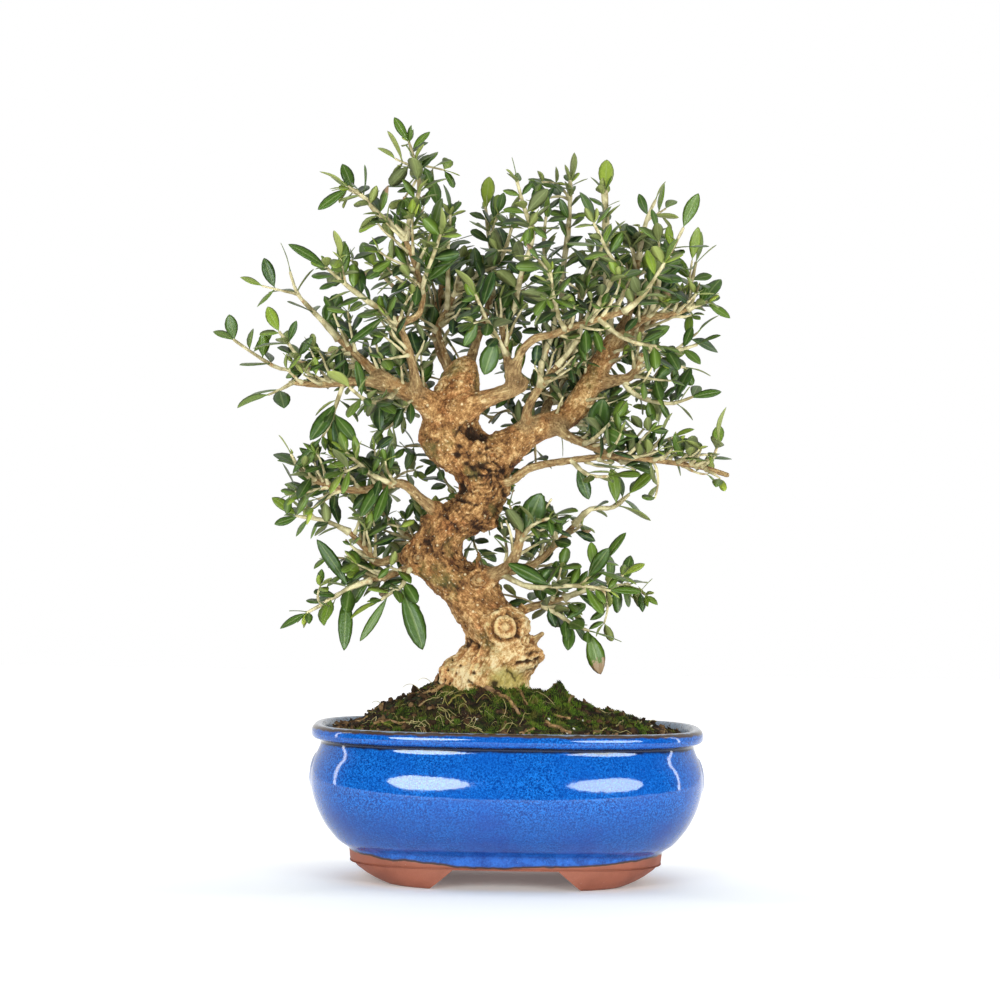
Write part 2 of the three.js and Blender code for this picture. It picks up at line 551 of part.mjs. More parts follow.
// Each leafy branch is one body.  on/at: its limb and the place along it (0 to 1).
// path: its further points.  radius: at root and tip.  bare: the leafless share.
// pairs: opposite leaf pairs on it.  shoots: side shoots.  big: single leaves as
// [place along the branch, x, y, z of the tip, width].
const BRANCHES = {
  far_left: {
    on: "A2", at: 0.35, radius: [1.5, 0.8], bare: 0.45, pairs: 1, shoots: 0,
    path: [[-92, -8, 267], [-108, -4, 266], [-122, 0, 266], [-135, 2, 273], [-147, 4, 281]],
    big: [[0.99, -150, 2, 294, 7], [0.9, -156, -1, 281, 4], [0.84, -127, 8, 286, 5]],
  },
  left_up: {
    on: "A1", at: 0.72, radius: [1.3, 0.8], bare: 0.3, pairs: 2, shoots: 0,
    path: [[-109, -29, 267], [-114, -30, 275], [-121, -31, 284]],
    big: [],
  },
  left_hanging: {
    on: "A1", at: 0.45, radius: [1.3, 0.8], bare: 0.3, pairs: 1, shoots: 0,
    path: [[-91, -25, 248], [-94, -27, 238], [-98, -28, 230]],
    big: [[0.35, -103, -34, 228, 8], [0.55, -81, -32, 228, 7], [0.95, -113, -30, 211, 5]],
  },
  left_stub: {
    on: "A1", at: 0.97, radius: [1.2, 0.7], bare: 0.3, pairs: 1, shoots: 0,
    path: [[-119, -40, 254], [-125, -45, 251]],
    big: [],
  },
  left_cluster: {
    on: "A2", at: 0.95, radius: [1.8, 0.8], bare: 0.25, pairs: 2, shoots: 1,
    path: [[-100, -2, 291], [-107, 1, 298], [-114, 4, 306], [-118, 5, 317]],
    big: [],
  },
  left_front: {
    on: "A", at: 0.75, radius: [1.8, 0.8], bare: 0.35, pairs: 2, shoots: 0,
    path: [[-64, -24, 251], [-70, -38, 248], [-77, -50, 250], [-83, -60, 255]],
    big: [],
  },
  upper_left: {
    on: "E", at: 0.96, radius: [2, 0.9], bare: 0.25, pairs: 2, shoots: 1,
    path: [[-66, -33, 294], [-75, -36, 300], [-85, -39, 307], [-97, -42, 317]],
    big: [[0.15, -83, -40, 277, 5], [0.98, -115, -44, 330, 6]],
  },
  upper_left_arm: {
    on: "E1", at: 0.98, radius: [1.9, 0.9], bare: 0.25, pairs: 2, shoots: 1,
    path: [[-64, -41, 340], [-72, -42, 346], [-79, -43, 354], [-86, -44, 358]],
    big: [[0.98, -102, -46, 347, 6]],
  },
  upper_left_front: {
    on: "E1", at: 0.42, radius: [1.4, 0.8], bare: 0.3, pairs: 2, shoots: 0,
    path: [[-46, -46, 312], [-42, -55, 322], [-38, -62, 333]],
    big: [[0.2, -31, -48, 323, 7]],
  },
  crown_tip: {
    on: "E1", at: 0.93, radius: [1.7, 0.7], bare: 0.3, pairs: 2, shoots: 1,
    path: [[-54, -36, 345], [-50, -33, 357], [-51, -30, 368], [-54, -27, 378], [-56, -25, 384]],
    big: [[0.98, -64, -25, 396, 5], [0.9, -46, -23, 390, 4]],
  },
  crown_back_left: {
    on: "B1", at: 0.97, radius: [1.9, 0.8], bare: 0.1, pairs: 2, shoots: 1,
    path: [[-36, 46, 330], [-38, 50, 343], [-42, 52, 356]],
    big: [],
  },
  back_left_high: {
    on: "B1", at: 0.55, radius: [1.8, 0.8], bare: 0.25, pairs: 2, shoots: 0,
    path: [[-52, 40, 302], [-64, 48, 312], [-76, 54, 324]],
    big: [],
  },
  crown_back: {
    on: "B2", at: 0.97, radius: [1.9, 0.8], bare: 0.1, pairs: 2, shoots: 1,
    path: [[-11, 38, 324], [-14, 42, 340], [-16, 44, 356]],
    big: [],
  },
  crown_back_low: {
    on: "B2", at: 0.55, radius: [1.8, 0.8], bare: 0.25, pairs: 2, shoots: 0,
    path: [[-10, 42, 298], [-3, 56, 306], [2, 68, 316]],
    big: [],
  },
  back_left: {
    on: "B3", at: 0.97, radius: [2, 0.8], bare: 0.15, pairs: 2, shoots: 1,
    path: [[-80, 55, 269], [-90, 62, 278], [-97, 67, 290]],
    big: [],
  },
  back_left_low: {
    on: "B3", at: 0.5, radius: [1.7, 0.8], bare: 0.25, pairs: 2, shoots: 0,
    path: [[-60, 46, 245], [-66, 58, 238], [-72, 68, 236]],
    big: [],
  },
  crown_middle: {
    on: "F", at: 0.97, radius: [2, 0.9], bare: 0.15, pairs: 2, shoots: 0,
    path: [[-18, 10, 319], [-10, 9, 323], [-5, 7, 331], [-2, 6, 342]],
    big: [],
  },
  crown_middle_left: {
    on: "F", at: 0.75, radius: [1.5, 0.7], bare: 0.2, pairs: 2, shoots: 0,
    path: [[-35, 7, 316], [-35, 1, 332], [-34, -3, 348]],
    big: [],
  },
  crown_inner: {
    on: "C1", at: 0.96, radius: [1.8, 0.9], bare: 0.25, pairs: 2, shoots: 0,
    path: [[0, -15, 298], [2, -16, 310], [5, -17, 322], [9, -18, 336], [4, -19, 352], [0, -19, 366]],
    big: [],
  },
  crown_front: {
    on: "C1", at: 0.5, radius: [1.6, 0.8], bare: 0.3, pairs: 2, shoots: 1,
    path: [[-9, -26, 284], [-15, -38, 293], [-20, -50, 304]],
    big: [[0.3, -16, -24, 264, 10], [0.12, -8, -30, 262, 6]],
  },
  front_right_high: {
    on: "H", at: 0.55, radius: [1.6, 0.8], bare: 0.3, pairs: 2, shoots: 1,
    path: [[23, -38, 293], [20, -50, 303], [18, -60, 315]],
    big: [],
  },
  right_pale_tip: {
    on: "H", at: 0.98, radius: [1.7, 0.8], bare: 0.2, pairs: 2, shoots: 0,
    path: [[64, -42, 303], [70, -49, 311], [76, -54, 321]],
    big: [],
  },
  right_pale_up: {
    on: "H", at: 0.74, radius: [1.7, 0.8], bare: 0.25, pairs: 2, shoots: 0,
    path: [[44, -33, 302], [49, -35, 311], [52, -37, 319], [46, -39, 330], [40, -40, 342]],
    big: [],
  },
  right_pale_low: {
    on: "H", at: 0.8, radius: [1.5, 0.8], bare: 0.3, pairs: 2, shoots: 0,
    path: [[52, -34, 286], [62, -38, 281], [73, -42, 279]],
    big: [],
  },
  crown_right_back: {
    on: "D1", at: 0.97, radius: [2.2, 0.8], bare: 0.4, pairs: 2, shoots: 0,
    path: [[28, 2, 292], [25, 14, 308], [26, 24, 324], [28, 30, 340], [29, 33, 356], [29, 34, 370]],
    big: [],
  },
  crown_right: {
    on: "D1", at: 0.5, radius: [2, 0.8], bare: 0.3, pairs: 2, shoots: 0,
    path: [[15, -8, 272], [21, -8, 290], [20, -3, 306], [17, 0, 320], [15, 2, 334], [16, 3, 348]],
    big: [],
  },
  crown_right_brown: {
    on: "D1", at: 0.78, radius: [1.9, 0.8], bare: 0.3, pairs: 2, shoots: 0,
    path: [[33, -13, 283], [35, -13, 296], [34, -10, 308], [40, -9, 320], [46, -9, 333]],
    big: [],
  },
  crown_right_top: {
    on: "D", at: 0.97, radius: [2.4, 0.8], bare: 0.35, pairs: 2, shoots: 0,
    path: [[50, 16, 298], [49, 20, 316], [48, 22, 334], [48, 23, 350], [47, 23, 364]],
    big: [],
  },
  right_back_top: {
    on: "D6", at: 0.97, radius: [2, 0.8], bare: 0.1, pairs: 2, shoots: 1,
    path: [[68, 36, 341], [71, 39, 352], [75, 41, 361]],
    big: [],
  },
  right_back_mid: {
    on: "D6", at: 0.6, radius: [1.7, 0.8], bare: 0.25, pairs: 2, shoots: 0,
    path: [[56, 38, 316], [48, 50, 324], [42, 60, 334]],
    big: [],
  },
  right_back: {
    on: "D5", at: 0.97, radius: [2, 0.8], bare: 0.15, pairs: 2, shoots: 1,
    path: [[88, 50, 308], [95, 54, 317], [98, 56, 329]],
    big: [],
  },
  right_back_low: {
    on: "D5", at: 0.5, radius: [1.7, 0.8], bare: 0.25, pairs: 2, shoots: 0,
    path: [[74, 38, 280], [84, 48, 274], [93, 56, 272]],
    big: [],
  },
  right_shoulder: {
    on: "J", at: 0.98, radius: [1.7, 0.8], bare: 0.15, pairs: 2, shoots: 0,
    path: [[97, -4, 303], [101, -5, 304]],
    big: [[0.95, 113, -8, 296, 5], [0.6, 101, -12, 313, 5]],
  },
  right_shoulder_up: {
    on: "J", at: 0.55, radius: [1.8, 0.8], bare: 0.25, pairs: 2, shoots: 1,
    path: [[75, 1, 310], [77, 0, 322], [83, -2, 333], [88, -3, 343]],
    big: [],
  },
  right_elbow: {
    on: "K", at: 0.9, radius: [1.8, 0.8], bare: 0.25, pairs: 2, shoots: 1,
    path: [[76, 3, 280], [86, 0, 279], [96, -3, 282]],
    big: [],
  },
  right_middle: {
    on: "K", at: 0.45, radius: [1.8, 0.8], bare: 0.3, pairs: 2, shoots: 0,
    path: [[64, 8, 256], [75, 9, 252], [85, 10, 251.5], [95, 11, 255]],
    big: [[0.95, 110, 12, 259, 5]],
  },
  right_front: {
    on: "D2", at: 0.5, radius: [1.6, 0.8], bare: 0.3, pairs: 1, shoots: 0,
    path: [[42, -16, 231], [47, -24, 236], [52, -32, 241]],
    big: [[0.45, 46, -28, 252, 12], [0.7, 58, -30, 230, 10]],
  },
  right_low: {
    on: "D2", at: 0.97, radius: [1.8, 0.8], bare: 0.2, pairs: 2, shoots: 1,
    path: [[66, -12, 222], [75, -14, 229], [84, -15, 233]],
    big: [[0.9, 98, -14, 228, 6]],
  },
  right_low_tip: {
    on: "D3", at: 0.86, radius: [1.4, 0.7], bare: 0.3, pairs: 2, shoots: 0,
    path: [[103, -32, 222], [105, -35, 227], [106, -37, 231]],
    big: [[0.3, 117, -34, 204, 6]],
  },
  right_low_under: {
    on: "D3", at: 0.36, radius: [1.4, 0.7], bare: 0.25, pairs: 1, shoots: 0,
    path: [[36, -26, 215], [42, -31, 212], [50, -36, 212]],
    big: [[0.2, 40, -26, 200, 7]],
  },
  right_back_under: {
    on: "D4", at: 0.97, radius: [2, 0.8], bare: 0.15, pairs: 2, shoots: 1,
    path: [[34, 58, 270], [42, 66, 278], [48, 72, 289]],
    big: [],
  },
  back_middle: {
    on: "D4", at: 0.6, radius: [1.7, 0.8], bare: 0.25, pairs: 2, shoots: 0,
    path: [[14, 50, 260], [6, 62, 266], [-2, 72, 274]],
    big: [],
  },
  back_low: {
    on: "G", at: 0.97, radius: [2, 0.8], bare: 0.15, pairs: 2, shoots: 1,
    path: [[-8, 60, 214], [-7, 71, 220], [-10, 80, 228]],
    big: [],
  },
  back_low_left: {
    on: "G1", at: 0.97, radius: [1.9, 0.8], bare: 0.2, pairs: 2, shoots: 1,
    path: [[-66, 42, 188], [-74, 50, 197], [-80, 56, 208]],
    big: [],
  },
  back_low_right: {
    on: "G2", at: 0.97, radius: [1.9, 0.8], bare: 0.15, pairs: 2, shoots: 1,
    path: [[38, 49, 243], [48, 55, 247], [57, 59, 253]],
    big: [],
  },
  low_left_upper: {
    on: "L1", at: 0.97, radius: [1.5, 0.8], bare: 0.15, pairs: 1, shoots: 0,
    path: [[-110, -25, 214], [-114, -28, 221]],
    big: [],
  },
  low_left_front: {
    on: "L1", at: 0.42, radius: [1.6, 0.8], bare: 0.25, pairs: 2, shoots: 1,
    path: [[-72, -28, 211], [-79, -36, 217], [-85, -44, 222]],
    big: [[0.1, -70, -30, 187, 6]],
  },
  low_left: {
    on: "L2", at: 0.97, radius: [1.7, 0.8], bare: 0.2, pairs: 2, shoots: 1,
    path: [[-97, 7, 186.5], [-106, 6, 188], [-113, 6, 189]],
    big: [[0.98, -110, 4, 200, 7], [0.95, -124, 4, 184, 5]],
  },
  low_left_hanging: {
    on: "L3", at: 0.96, radius: [1.7, 0.8], bare: 0.3, pairs: 1, shoots: 0,
    path: [[-82, -13, 152.5], [-90, -16, 148], [-97, -18, 143.5], [-105, -20, 139]],
    big: [
      [0.32, -99, -18, 178, 7], [0.34, -87, -22, 120, 8], [0.6, -110, -26, 129, 4],
      [0.99, -119, -22, 131, 5],
    ],
  },
  low_left_drop: {
    on: "L3", at: 0.3, radius: [1.6, 0.8], bare: 0.35, pairs: 1, shoots: 0,
    path: [[-56, -13, 154], [-60, -17, 151], [-67, -21, 146]],
    big: [[0.5, -42, -21, 122, 11], [0.8, -76, -22, 124, 5]],
  },
  low_right_stump: {
    on: "R1", at: 0.8, radius: [1.5, 0.8], bare: 0.25, pairs: 1, shoots: 0,
    path: [[9, -24, 184], [14, -30, 188], [20, -35, 190]],
    big: [[0.2, 15, -26, 203, 13]],
  },
  low_right: {
    on: "R2", at: 0.97, radius: [1.8, 0.8], bare: 0.2, pairs: 2, shoots: 1,
    path: [[42, 9, 195], [54, 8, 196], [62, 7, 203]],
    big: [],
  },
  low_right_front: {
    on: "R1", at: 0.3, radius: [1.9, 0.8], bare: 0.35, pairs: 2, shoots: 1,
    path: [[7, -16, 155], [17, -20, 154], [28, -22, 155], [40, -24, 155], [52, -25, 153]],
    big: [[0.3, 25, -30, 144, 9], [0.98, 68, -28, 154, 5]],
  },
  low_right_back: {
    on: "R4", at: 0.97, radius: [1.8, 0.8], bare: 0.2, pairs: 2, shoots: 1,
    path: [[40, 18, 152], [50, 20, 154], [60, 22, 160]],
    big: [],
  },
  low_right_hanging: {
    on: "R4", at: 0.6, radius: [1.6, 0.8], bare: 0.3, pairs: 1, shoots: 0,
    path: [[26, 8, 139], [34, 5, 134], [42, 3, 131]],
    big: [[0.98, 50, 0, 109, 10], [0.6, 32, -2, 121, 7]],
  },
};

// A repeatable stream of numbers between 0 and 1.
function seededRandom(seed) {
  let state = seed >>> 0;
  return () => {
    state = (state + 0x6d2b79f5) >>> 0;
    let mixed = Math.imul(state ^ (state >>> 15), 1 | state);
    mixed = (mixed + Math.imul(mixed ^ (mixed >>> 7), 61 | mixed)) ^ mixed;
    return ((mixed ^ (mixed >>> 14)) >>> 0) / 4294967296;
  };
}

// The point and the direction at a share of a polyline's length.
function pointOn(points, share) {
  const lengths = points.slice(1).map((point, i) => point.distanceTo(points[i]));
  let left = share * lengths.reduce((sum, length) => sum + length);
  for (let i = 0; i < lengths.length; i += 1) {
    const along = points[i + 1].clone().sub(points[i]).normalize();
    if (left <= lengths[i] || i === lengths.length - 1) {
      return { point: points[i].clone().addScaledVector(along, left), along };
    }
    left -= lengths[i];
  }
  return null;
}

const UP = new THREE.Vector3(0, 0, 1);

// A direction that leaves `along` by `tilt`, turned round it by `roll` from level.
function branchOff(along, tilt, roll) {
  const side = along.clone().cross(UP);
  if (side.length() < 0.05) side.set(1, 0, 0);
  side.normalize();
  const lift = side.clone().cross(along).normalize();
  const radial = side.multiplyScalar(Math.cos(roll)).addScaledVector(lift, Math.sin(roll));
  return along.clone().multiplyScalar(Math.cos(tilt)).addScaledVector(radial, Math.sin(tilt)).normalize();
}

// Points that stand for a twig when another piece has to keep clear of it.
function twigSamples(points, skip) {
  const samples = [];
  const length = points.slice(1).reduce((sum, point, i) => sum + point.distanceTo(points[i]), 0);
  for (let reach = skip; reach < length; reach += SAMPLE_STEP) {
    samples.push(pointOn(points, reach / length).point);
  }
  samples.push(points[points.length - 1].clone());
  return samples;
}

// A blade: base, direction, upper side, length and width, and how much it arches.
function bladePoint(leaf, along, across) {
  const side = leaf.direction.clone().cross(leaf.normal);
  const arch = -leaf.arch * leaf.length * along * along;
  return leaf.base
    .clone()
    .addScaledVector(leaf.direction, leaf.length * along)
    .addScaledVector(leaf.normal, arch)
    .addScaledVector(side, across * leaf.width);
}

function leafSamples(leaf) {
  const samples = [0.3, 0.5, 0.7, 0.87, 1].map((along) => bladePoint(leaf, along, 0));
  for (const across of [-0.45, 0.45]) {
    samples.push(bladePoint(leaf, 0.42, across), bladePoint(leaf, 0.68, across));
  }
  return samples;
}

function facing(direction, random) {
  const light = new THREE.Vector3(1.1 * (random() - 0.5), -0.35 + 1.1 * (random() - 0.5), 0.75);
  return light.addScaledVector(direction, -light.dot(direction)).normalize();
}

function farFrom(samples, others, clearance) {
  const apart = (sample) => others.every((other) => (
    sample.distanceToSquared(other) > clearance * clearance));
  return samples.every(apart);
}

// Distance checks against the woody limbs, each a chain of balls along its path.
const WOOD_BALLS = [];
for (const { path, radius } of Object.values(LIMBS)) {
  const points = vectors(path);
  const count = twigSamples(points, 0).length;
  for (let i = 0; i < count; i += 1) {
    const share = i / (count - 1);
    const size = THREE.MathUtils.lerp(radius[0], radius[1], share);
    WOOD_BALLS.push({ centre: pointOn(points, share).point, size });
  }
}
for (const [x, y, z, halfWidth, halfDepth] of TRUNK_SLICES) {
  WOOD_BALLS.push({ centre: new THREE.Vector3(x, y, z), size: Math.max(halfWidth, halfDepth) + 1 });
}

function clearOfWood(samples, clearance) {
  const outside = (sample) => WOOD_BALLS.every(({ centre, size }) => (
    sample.distanceTo(centre) > size + clearance));
  return samples.every(outside);
}

// First all the twigs, then the leaves, so that a leaf can keep clear of every twig.
function growTwigs(name, spec, seed, taken) {
  const random = seededRandom(seed);
  const root = pointOn(vectors(LIMBS[spec.on].path), spec.at).point;
  const stem = [root, ...vectors(spec.path)];
  const twigs = [{ points: stem, radius: spec.radius, pairs: spec.pairs, bare: spec.bare }];
  const own = twigSamples(stem, 8);
  for (let i = 0; i < spec.shoots; i += 1) {
    const share = spec.bare + ((1 - spec.bare) * (i + 0.35 + 0.3 * random())) / spec.shoots;
    const { point, along } = pointOn(stem, Math.min(share, 0.96));
    const length = SHOOT_LENGTH * (0.75 + 0.5 * random());
    const firstRoll = 2 * Math.PI * random();
    for (let attempt = 0; attempt < 10; attempt += 1) {
      const roll = firstRoll + attempt * 0.63 + i * 2.4;
      const direction = branchOff(along, 0.8 + 0.25 * Math.sin(attempt), roll);
      if (direction.z < -0.55) continue;
      const shoot = [point, point.clone().addScaledVector(direction, length)];
      const samples = twigSamples(shoot, 5);
      const clear = clearOfWood(samples, SHOOT_FROM_WOOD)
        && farFrom(samples, taken, SHOOT_CLEARANCE)
        && farFrom(samples, own, OWN_CLEARANCE);
      if (!clear) continue;
      twigs.push({ points: shoot, radius: [SHOOT_RADIUS, SHOOT_RADIUS * 0.7], pairs: 1, bare: 0.35 });
      own.push(...samples);
      break;
    }
  }
  taken.push(...own);
  return { name, spec, random, twigs, leaves: [] };
}

// A leaf on a twig, turned round it until it is clear of all that is there already.
function placeLeaf(branch, twig, share, roll, tilt, taken, twigPoints) {
  const { random } = branch;
  const { point, along } = pointOn(twig.points, share);
  const length = LEAF_LENGTH_MIN + LEAF_LENGTH_SPAN * random() ** 1.5;
  const width = length * (0.34 + 0.12 * random());
  const arch = 0.05 + 0.16 * random();
  for (let attempt = 0; attempt < 8; attempt += 1) {
    const turn = attempt % 2 ? 0.12 * attempt : -0.07 * attempt;
    const direction = branchOff(along, tilt + turn, roll + 0.3 * attempt);
    const leaf = { base: point, direction, normal: facing(direction, random), length, width, arch };
    if (keepLeaf(branch, leaf, taken, twigPoints)) return;
  }
}

function keepLeaf(branch, leaf, taken, twigPoints) {
  const samples = leafSamples(leaf);
  const clear = farFrom(samples, taken, LEAF_CLEARANCE)
    && farFrom(samples.slice(1), twigPoints, TWIG_CLEARANCE)
    && clearOfWood(samples, WOOD_CLEARANCE);
  if (clear) {
    branch.leaves.push(leaf);
    taken.push(...samples);
  }
  return clear;
}

function growLeaves(branch, taken, twigPoints) {
  const [stem] = branch.twigs;
  for (const [share, x, y, z, width] of branch.spec.big) {
    const base = pointOn(stem.points, share).point;
    const reach = new THREE.Vector3(x, y, z).sub(base);
    const direction = reach.clone().normalize();
    const outward = new THREE.Vector3(0, -1, 0.45);
    const normal = outward.addScaledVector(direction, -outward.dot(direction)).normalize();
    const leaf = { base, direction, normal, length: reach.length(), width, arch: 0.04 };
    keepLeaf(branch, leaf, taken, twigPoints);
  }
  branch.twigs.forEach((twig, order) => {
    for (let pair = 0; pair < twig.pairs; pair += 1) {
      const share = twig.bare + ((0.93 - twig.bare) * (pair + 0.5)) / twig.pairs;
      const roll = (pair + order) * (Math.PI / 2) + 0.5 * branch.random();
      placeLeaf(branch, twig, share, roll, PAIR_TILT, taken, twigPoints);
      placeLeaf(branch, twig, share, roll + Math.PI, PAIR_TILT, taken, twigPoints);
    }
    placeLeaf(branch, twig, 0.985, 0.7 + order, END_TILT, taken, twigPoints);
  });
}

function growFoliage() {
  const twigPoints = [];
  const leafPoints = [];
  const named = Object.entries(BRANCHES);
  const branches = named.map(([name, spec], i) => growTwigs(name, spec, 41 + 17 * i, twigPoints));
  for (const branch of branches) growLeaves(branch, leafPoints, twigPoints);
  return branches;
}

// A blade is a thin spindle of three sides: pointed ends, two sharp edges and a rib on top.
// Each ring is [share of the length, share of the half-width].
const BLADE_RINGS = [[0, 0], [0.34, 0.96], [0.74, 0.9], [1, 0]];
const BIG_BLADE_RINGS = [[0, 0], [0.14, 0.2], [0.38, 0.96], [0.7, 0.96], [0.9, 0.5], [1, 0]];
const BIG_LEAF = 20;
const BLADE_CORNERS = [[1, 0], [0, 1], [-1, 0]]; // [across, up] of the edges and the rib

function makeBlade(leaf) {
  const rings = leaf.length > BIG_LEAF ? BIG_BLADE_RINGS : BLADE_RINGS;
  return bentLathe(rings.length, 3, true, (ring, angle, share) => {
    const [along, halfWidth] = rings[ring];
    const corner = Math.round((3 * angle) / (2 * Math.PI) + 3) % 3;
    const [across, up] = BLADE_CORNERS[corner];
    const point = bladePoint(leaf, along, 0.5 * share * halfWidth * across);
    return point.addScaledVector(leaf.normal, share * up * LEAF_THICKNESS);
  });
}

const STEM_SIDES = 3;

function makeBranch(branch, woodSpace) {
  const [stem, ...shoots] = branch.twigs;
  const pieces = [rod(stem.points, stem.radius, STEM_SIDES)];
  for (const shoot of shoots) pieces.push(rod(shoot.points, shoot.radius, STEM_SIDES));
  for (const leaf of branch.leaves) pieces.push(makeBlade(leaf));
  return largestBody(join(pieces).subtract(woodSpace));
}

// --------------------------------------------------------------- the whole part

const part = new THREE.Group();

function addPiece(name, solid, look) {
  const mesh = new THREE.Mesh(toGeometry(solid), look);
  mesh.name = name;
  part.add(mesh);
}

const woodSpace = makeTrunk(GAP);

let soil = makeSoil().subtract(woodSpace);
for (const x of [-HOLE_X, HOLE_X]) soil = soil.subtract(makeScreen(x, GAP));

addPiece("pot", makePot(), GLAZE);
addPiece("drain_screen_left", makeScreen(-HOLE_X), MESH_PLASTIC);
addPiece("drain_screen_right", makeScreen(HOLE_X), MESH_PLASTIC);
addPiece("soil", largestBody(soil), SOIL);
addPiece("trunk", makeTrunk(), BARK);
for (const branch of growFoliage()) addPiece(`branch_${branch.name}`, makeBranch(branch, woodSpace), LEAF);

// The origin is under the middle of the whole, on the surface that the feet stand on.
const bounds = new THREE.Box3().setFromObject(part);
const middle = bounds.getCenter(new THREE.Vector3());
part.position.set(-middle.x, -middle.y, -bounds.min.z);

export default part;
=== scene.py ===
# %% [markdown]
# # An olive bonsai in a blue glazed pot
# This lesson dresses a finished set of plain solids: a glazed pot, two drainage screens, a mound of
# soil, a gnarled trunk with its limbs, and fifty-five leafy branches.
# The solids fix every size and place. Blender adds what makes the tree look alive: bark with knots and
# pits, about three thousand leaves, moss, root fibres, and a glaze that shines.
# Everything is drawn in millimetres from the middle of the pot's foot and moved into the solids' own
# frame, in metres, as the last step of each piece.

import math
import random
from types import SimpleNamespace

import bmesh
import bpy
import numpy as np
from mathutils import Matrix, Quaternion, Vector, noise
from mathutils.kdtree import KDTree


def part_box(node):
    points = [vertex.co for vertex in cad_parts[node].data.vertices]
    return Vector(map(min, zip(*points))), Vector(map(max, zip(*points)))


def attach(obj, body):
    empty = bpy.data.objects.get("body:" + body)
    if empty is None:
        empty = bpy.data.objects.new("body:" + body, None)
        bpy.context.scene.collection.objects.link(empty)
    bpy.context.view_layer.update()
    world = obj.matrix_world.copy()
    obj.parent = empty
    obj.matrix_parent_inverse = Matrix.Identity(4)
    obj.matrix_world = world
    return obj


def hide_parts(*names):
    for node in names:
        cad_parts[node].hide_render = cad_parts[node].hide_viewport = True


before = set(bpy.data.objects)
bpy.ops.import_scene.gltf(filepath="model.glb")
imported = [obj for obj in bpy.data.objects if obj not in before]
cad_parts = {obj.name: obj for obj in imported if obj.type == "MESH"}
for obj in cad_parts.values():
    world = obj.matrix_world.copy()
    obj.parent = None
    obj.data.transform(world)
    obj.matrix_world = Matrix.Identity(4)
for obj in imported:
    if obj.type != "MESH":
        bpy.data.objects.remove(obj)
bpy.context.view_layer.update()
pot_low, pot_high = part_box("pot")
POT_MIDDLE = Vector(((pot_low.x + pot_high.x) / 2, (pot_low.y + pot_high.y) / 2, 0.0))
TO_FRAME = Matrix.Translation(POT_MIDDLE) @ Matrix.Scale(0.001, 4)
print("pot middle in the frame, mm:", [round(1000 * c, 2) for c in POT_MIDDLE])

# %% [markdown]
# ## Finishing a piece
# Every piece ends the same way: its shape is moved into the frame, gets its materials, and is told which
# body it moves with, and the plain solids it stands for are hidden.
# A helper does this once, so no piece is forgotten.

# %% How a piece is finished
TURN = 2 * math.pi


def as_mesh(shape, name):
    mesh = bpy.data.meshes.new(name)
    shape.to_mesh(mesh)
    shape.free()
    return mesh


def show(name, content):
    """Puts a mesh, a lamp or a camera into the scene."""
    made = bpy.data.objects.new(name, content)
    bpy.context.scene.collection.objects.link(made)
    return made


def finish_piece(name, shape, materials, nodes=(), crease=None):
    """Turns a shape drawn in pot millimetres into a finished piece."""
    bmesh.ops.transform(shape, matrix=TO_FRAME, verts=shape.verts)
    finish_mesh(name, as_mesh(shape, name), materials, nodes, crease)


def finish_mesh(name, mesh, materials, nodes=(), crease=None):
    """Makes the piece of a mesh that is in the frame already."""
    for material in materials:
        mesh.materials.append(material)
    mesh.shade_smooth()
    if crease is not None:
        mesh.set_sharp_from_angle(angle=math.radians(crease))
    piece = show(name, mesh)
    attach(piece, "root")
    if nodes:
        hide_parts(*nodes)
    print(f"{name}: {sum(len(face.vertices) - 2 for face in mesh.polygons)} triangles")


# %% [markdown]
# ## Camera and light
# The tree is seen from the front, level with the middle of the trunk and from nearly two metres away, so
# a long lens is used. It leans by less than a degree.
# Two big oval softboxes stand left and right in front. They light the leaves, and the glaze mirrors them
# as two pale ovals. A thin strip on each side gives the bright line on the pot's shoulders, and a wide
# panel above lights the crown from the top.
# The room in front of the tree is dim and the wall behind it is bright. That is why the glaze looks deep
# blue in front and pale at its ends. A sky picture could do the same, but a few plain tones of the world
# are enough.

# %% Camera
EYE_DISTANCE = 1850.0
EYE_HEIGHT = 199.0
CAMERA_SPOT = (-5.8, -EYE_DISTANCE, EYE_HEIGHT)
FOCAL_SHARE = 3.529
SENSOR = 36.0
CAMERA_LEAN = 0.9

lens = bpy.data.cameras.new("camera")
lens.sensor_width = SENSOR
lens.sensor_fit = "HORIZONTAL"
lens.lens = FOCAL_SHARE * SENSOR
lens.clip_start = 0.05
lens.clip_end = 60.0
camera = show("camera", lens)
camera.matrix_world = (
    Matrix.Translation(TO_FRAME @ Vector(CAMERA_SPOT))
    @ Matrix.Rotation(math.radians(90), 4, "X")
    @ Matrix.Rotation(math.radians(CAMERA_LEAN), 4, "Z")
)
bpy.context.scene.camera = camera
bpy.context.scene.view_settings.view_transform = "Standard"
print("lens:", round(lens.lens, 1), "mm")

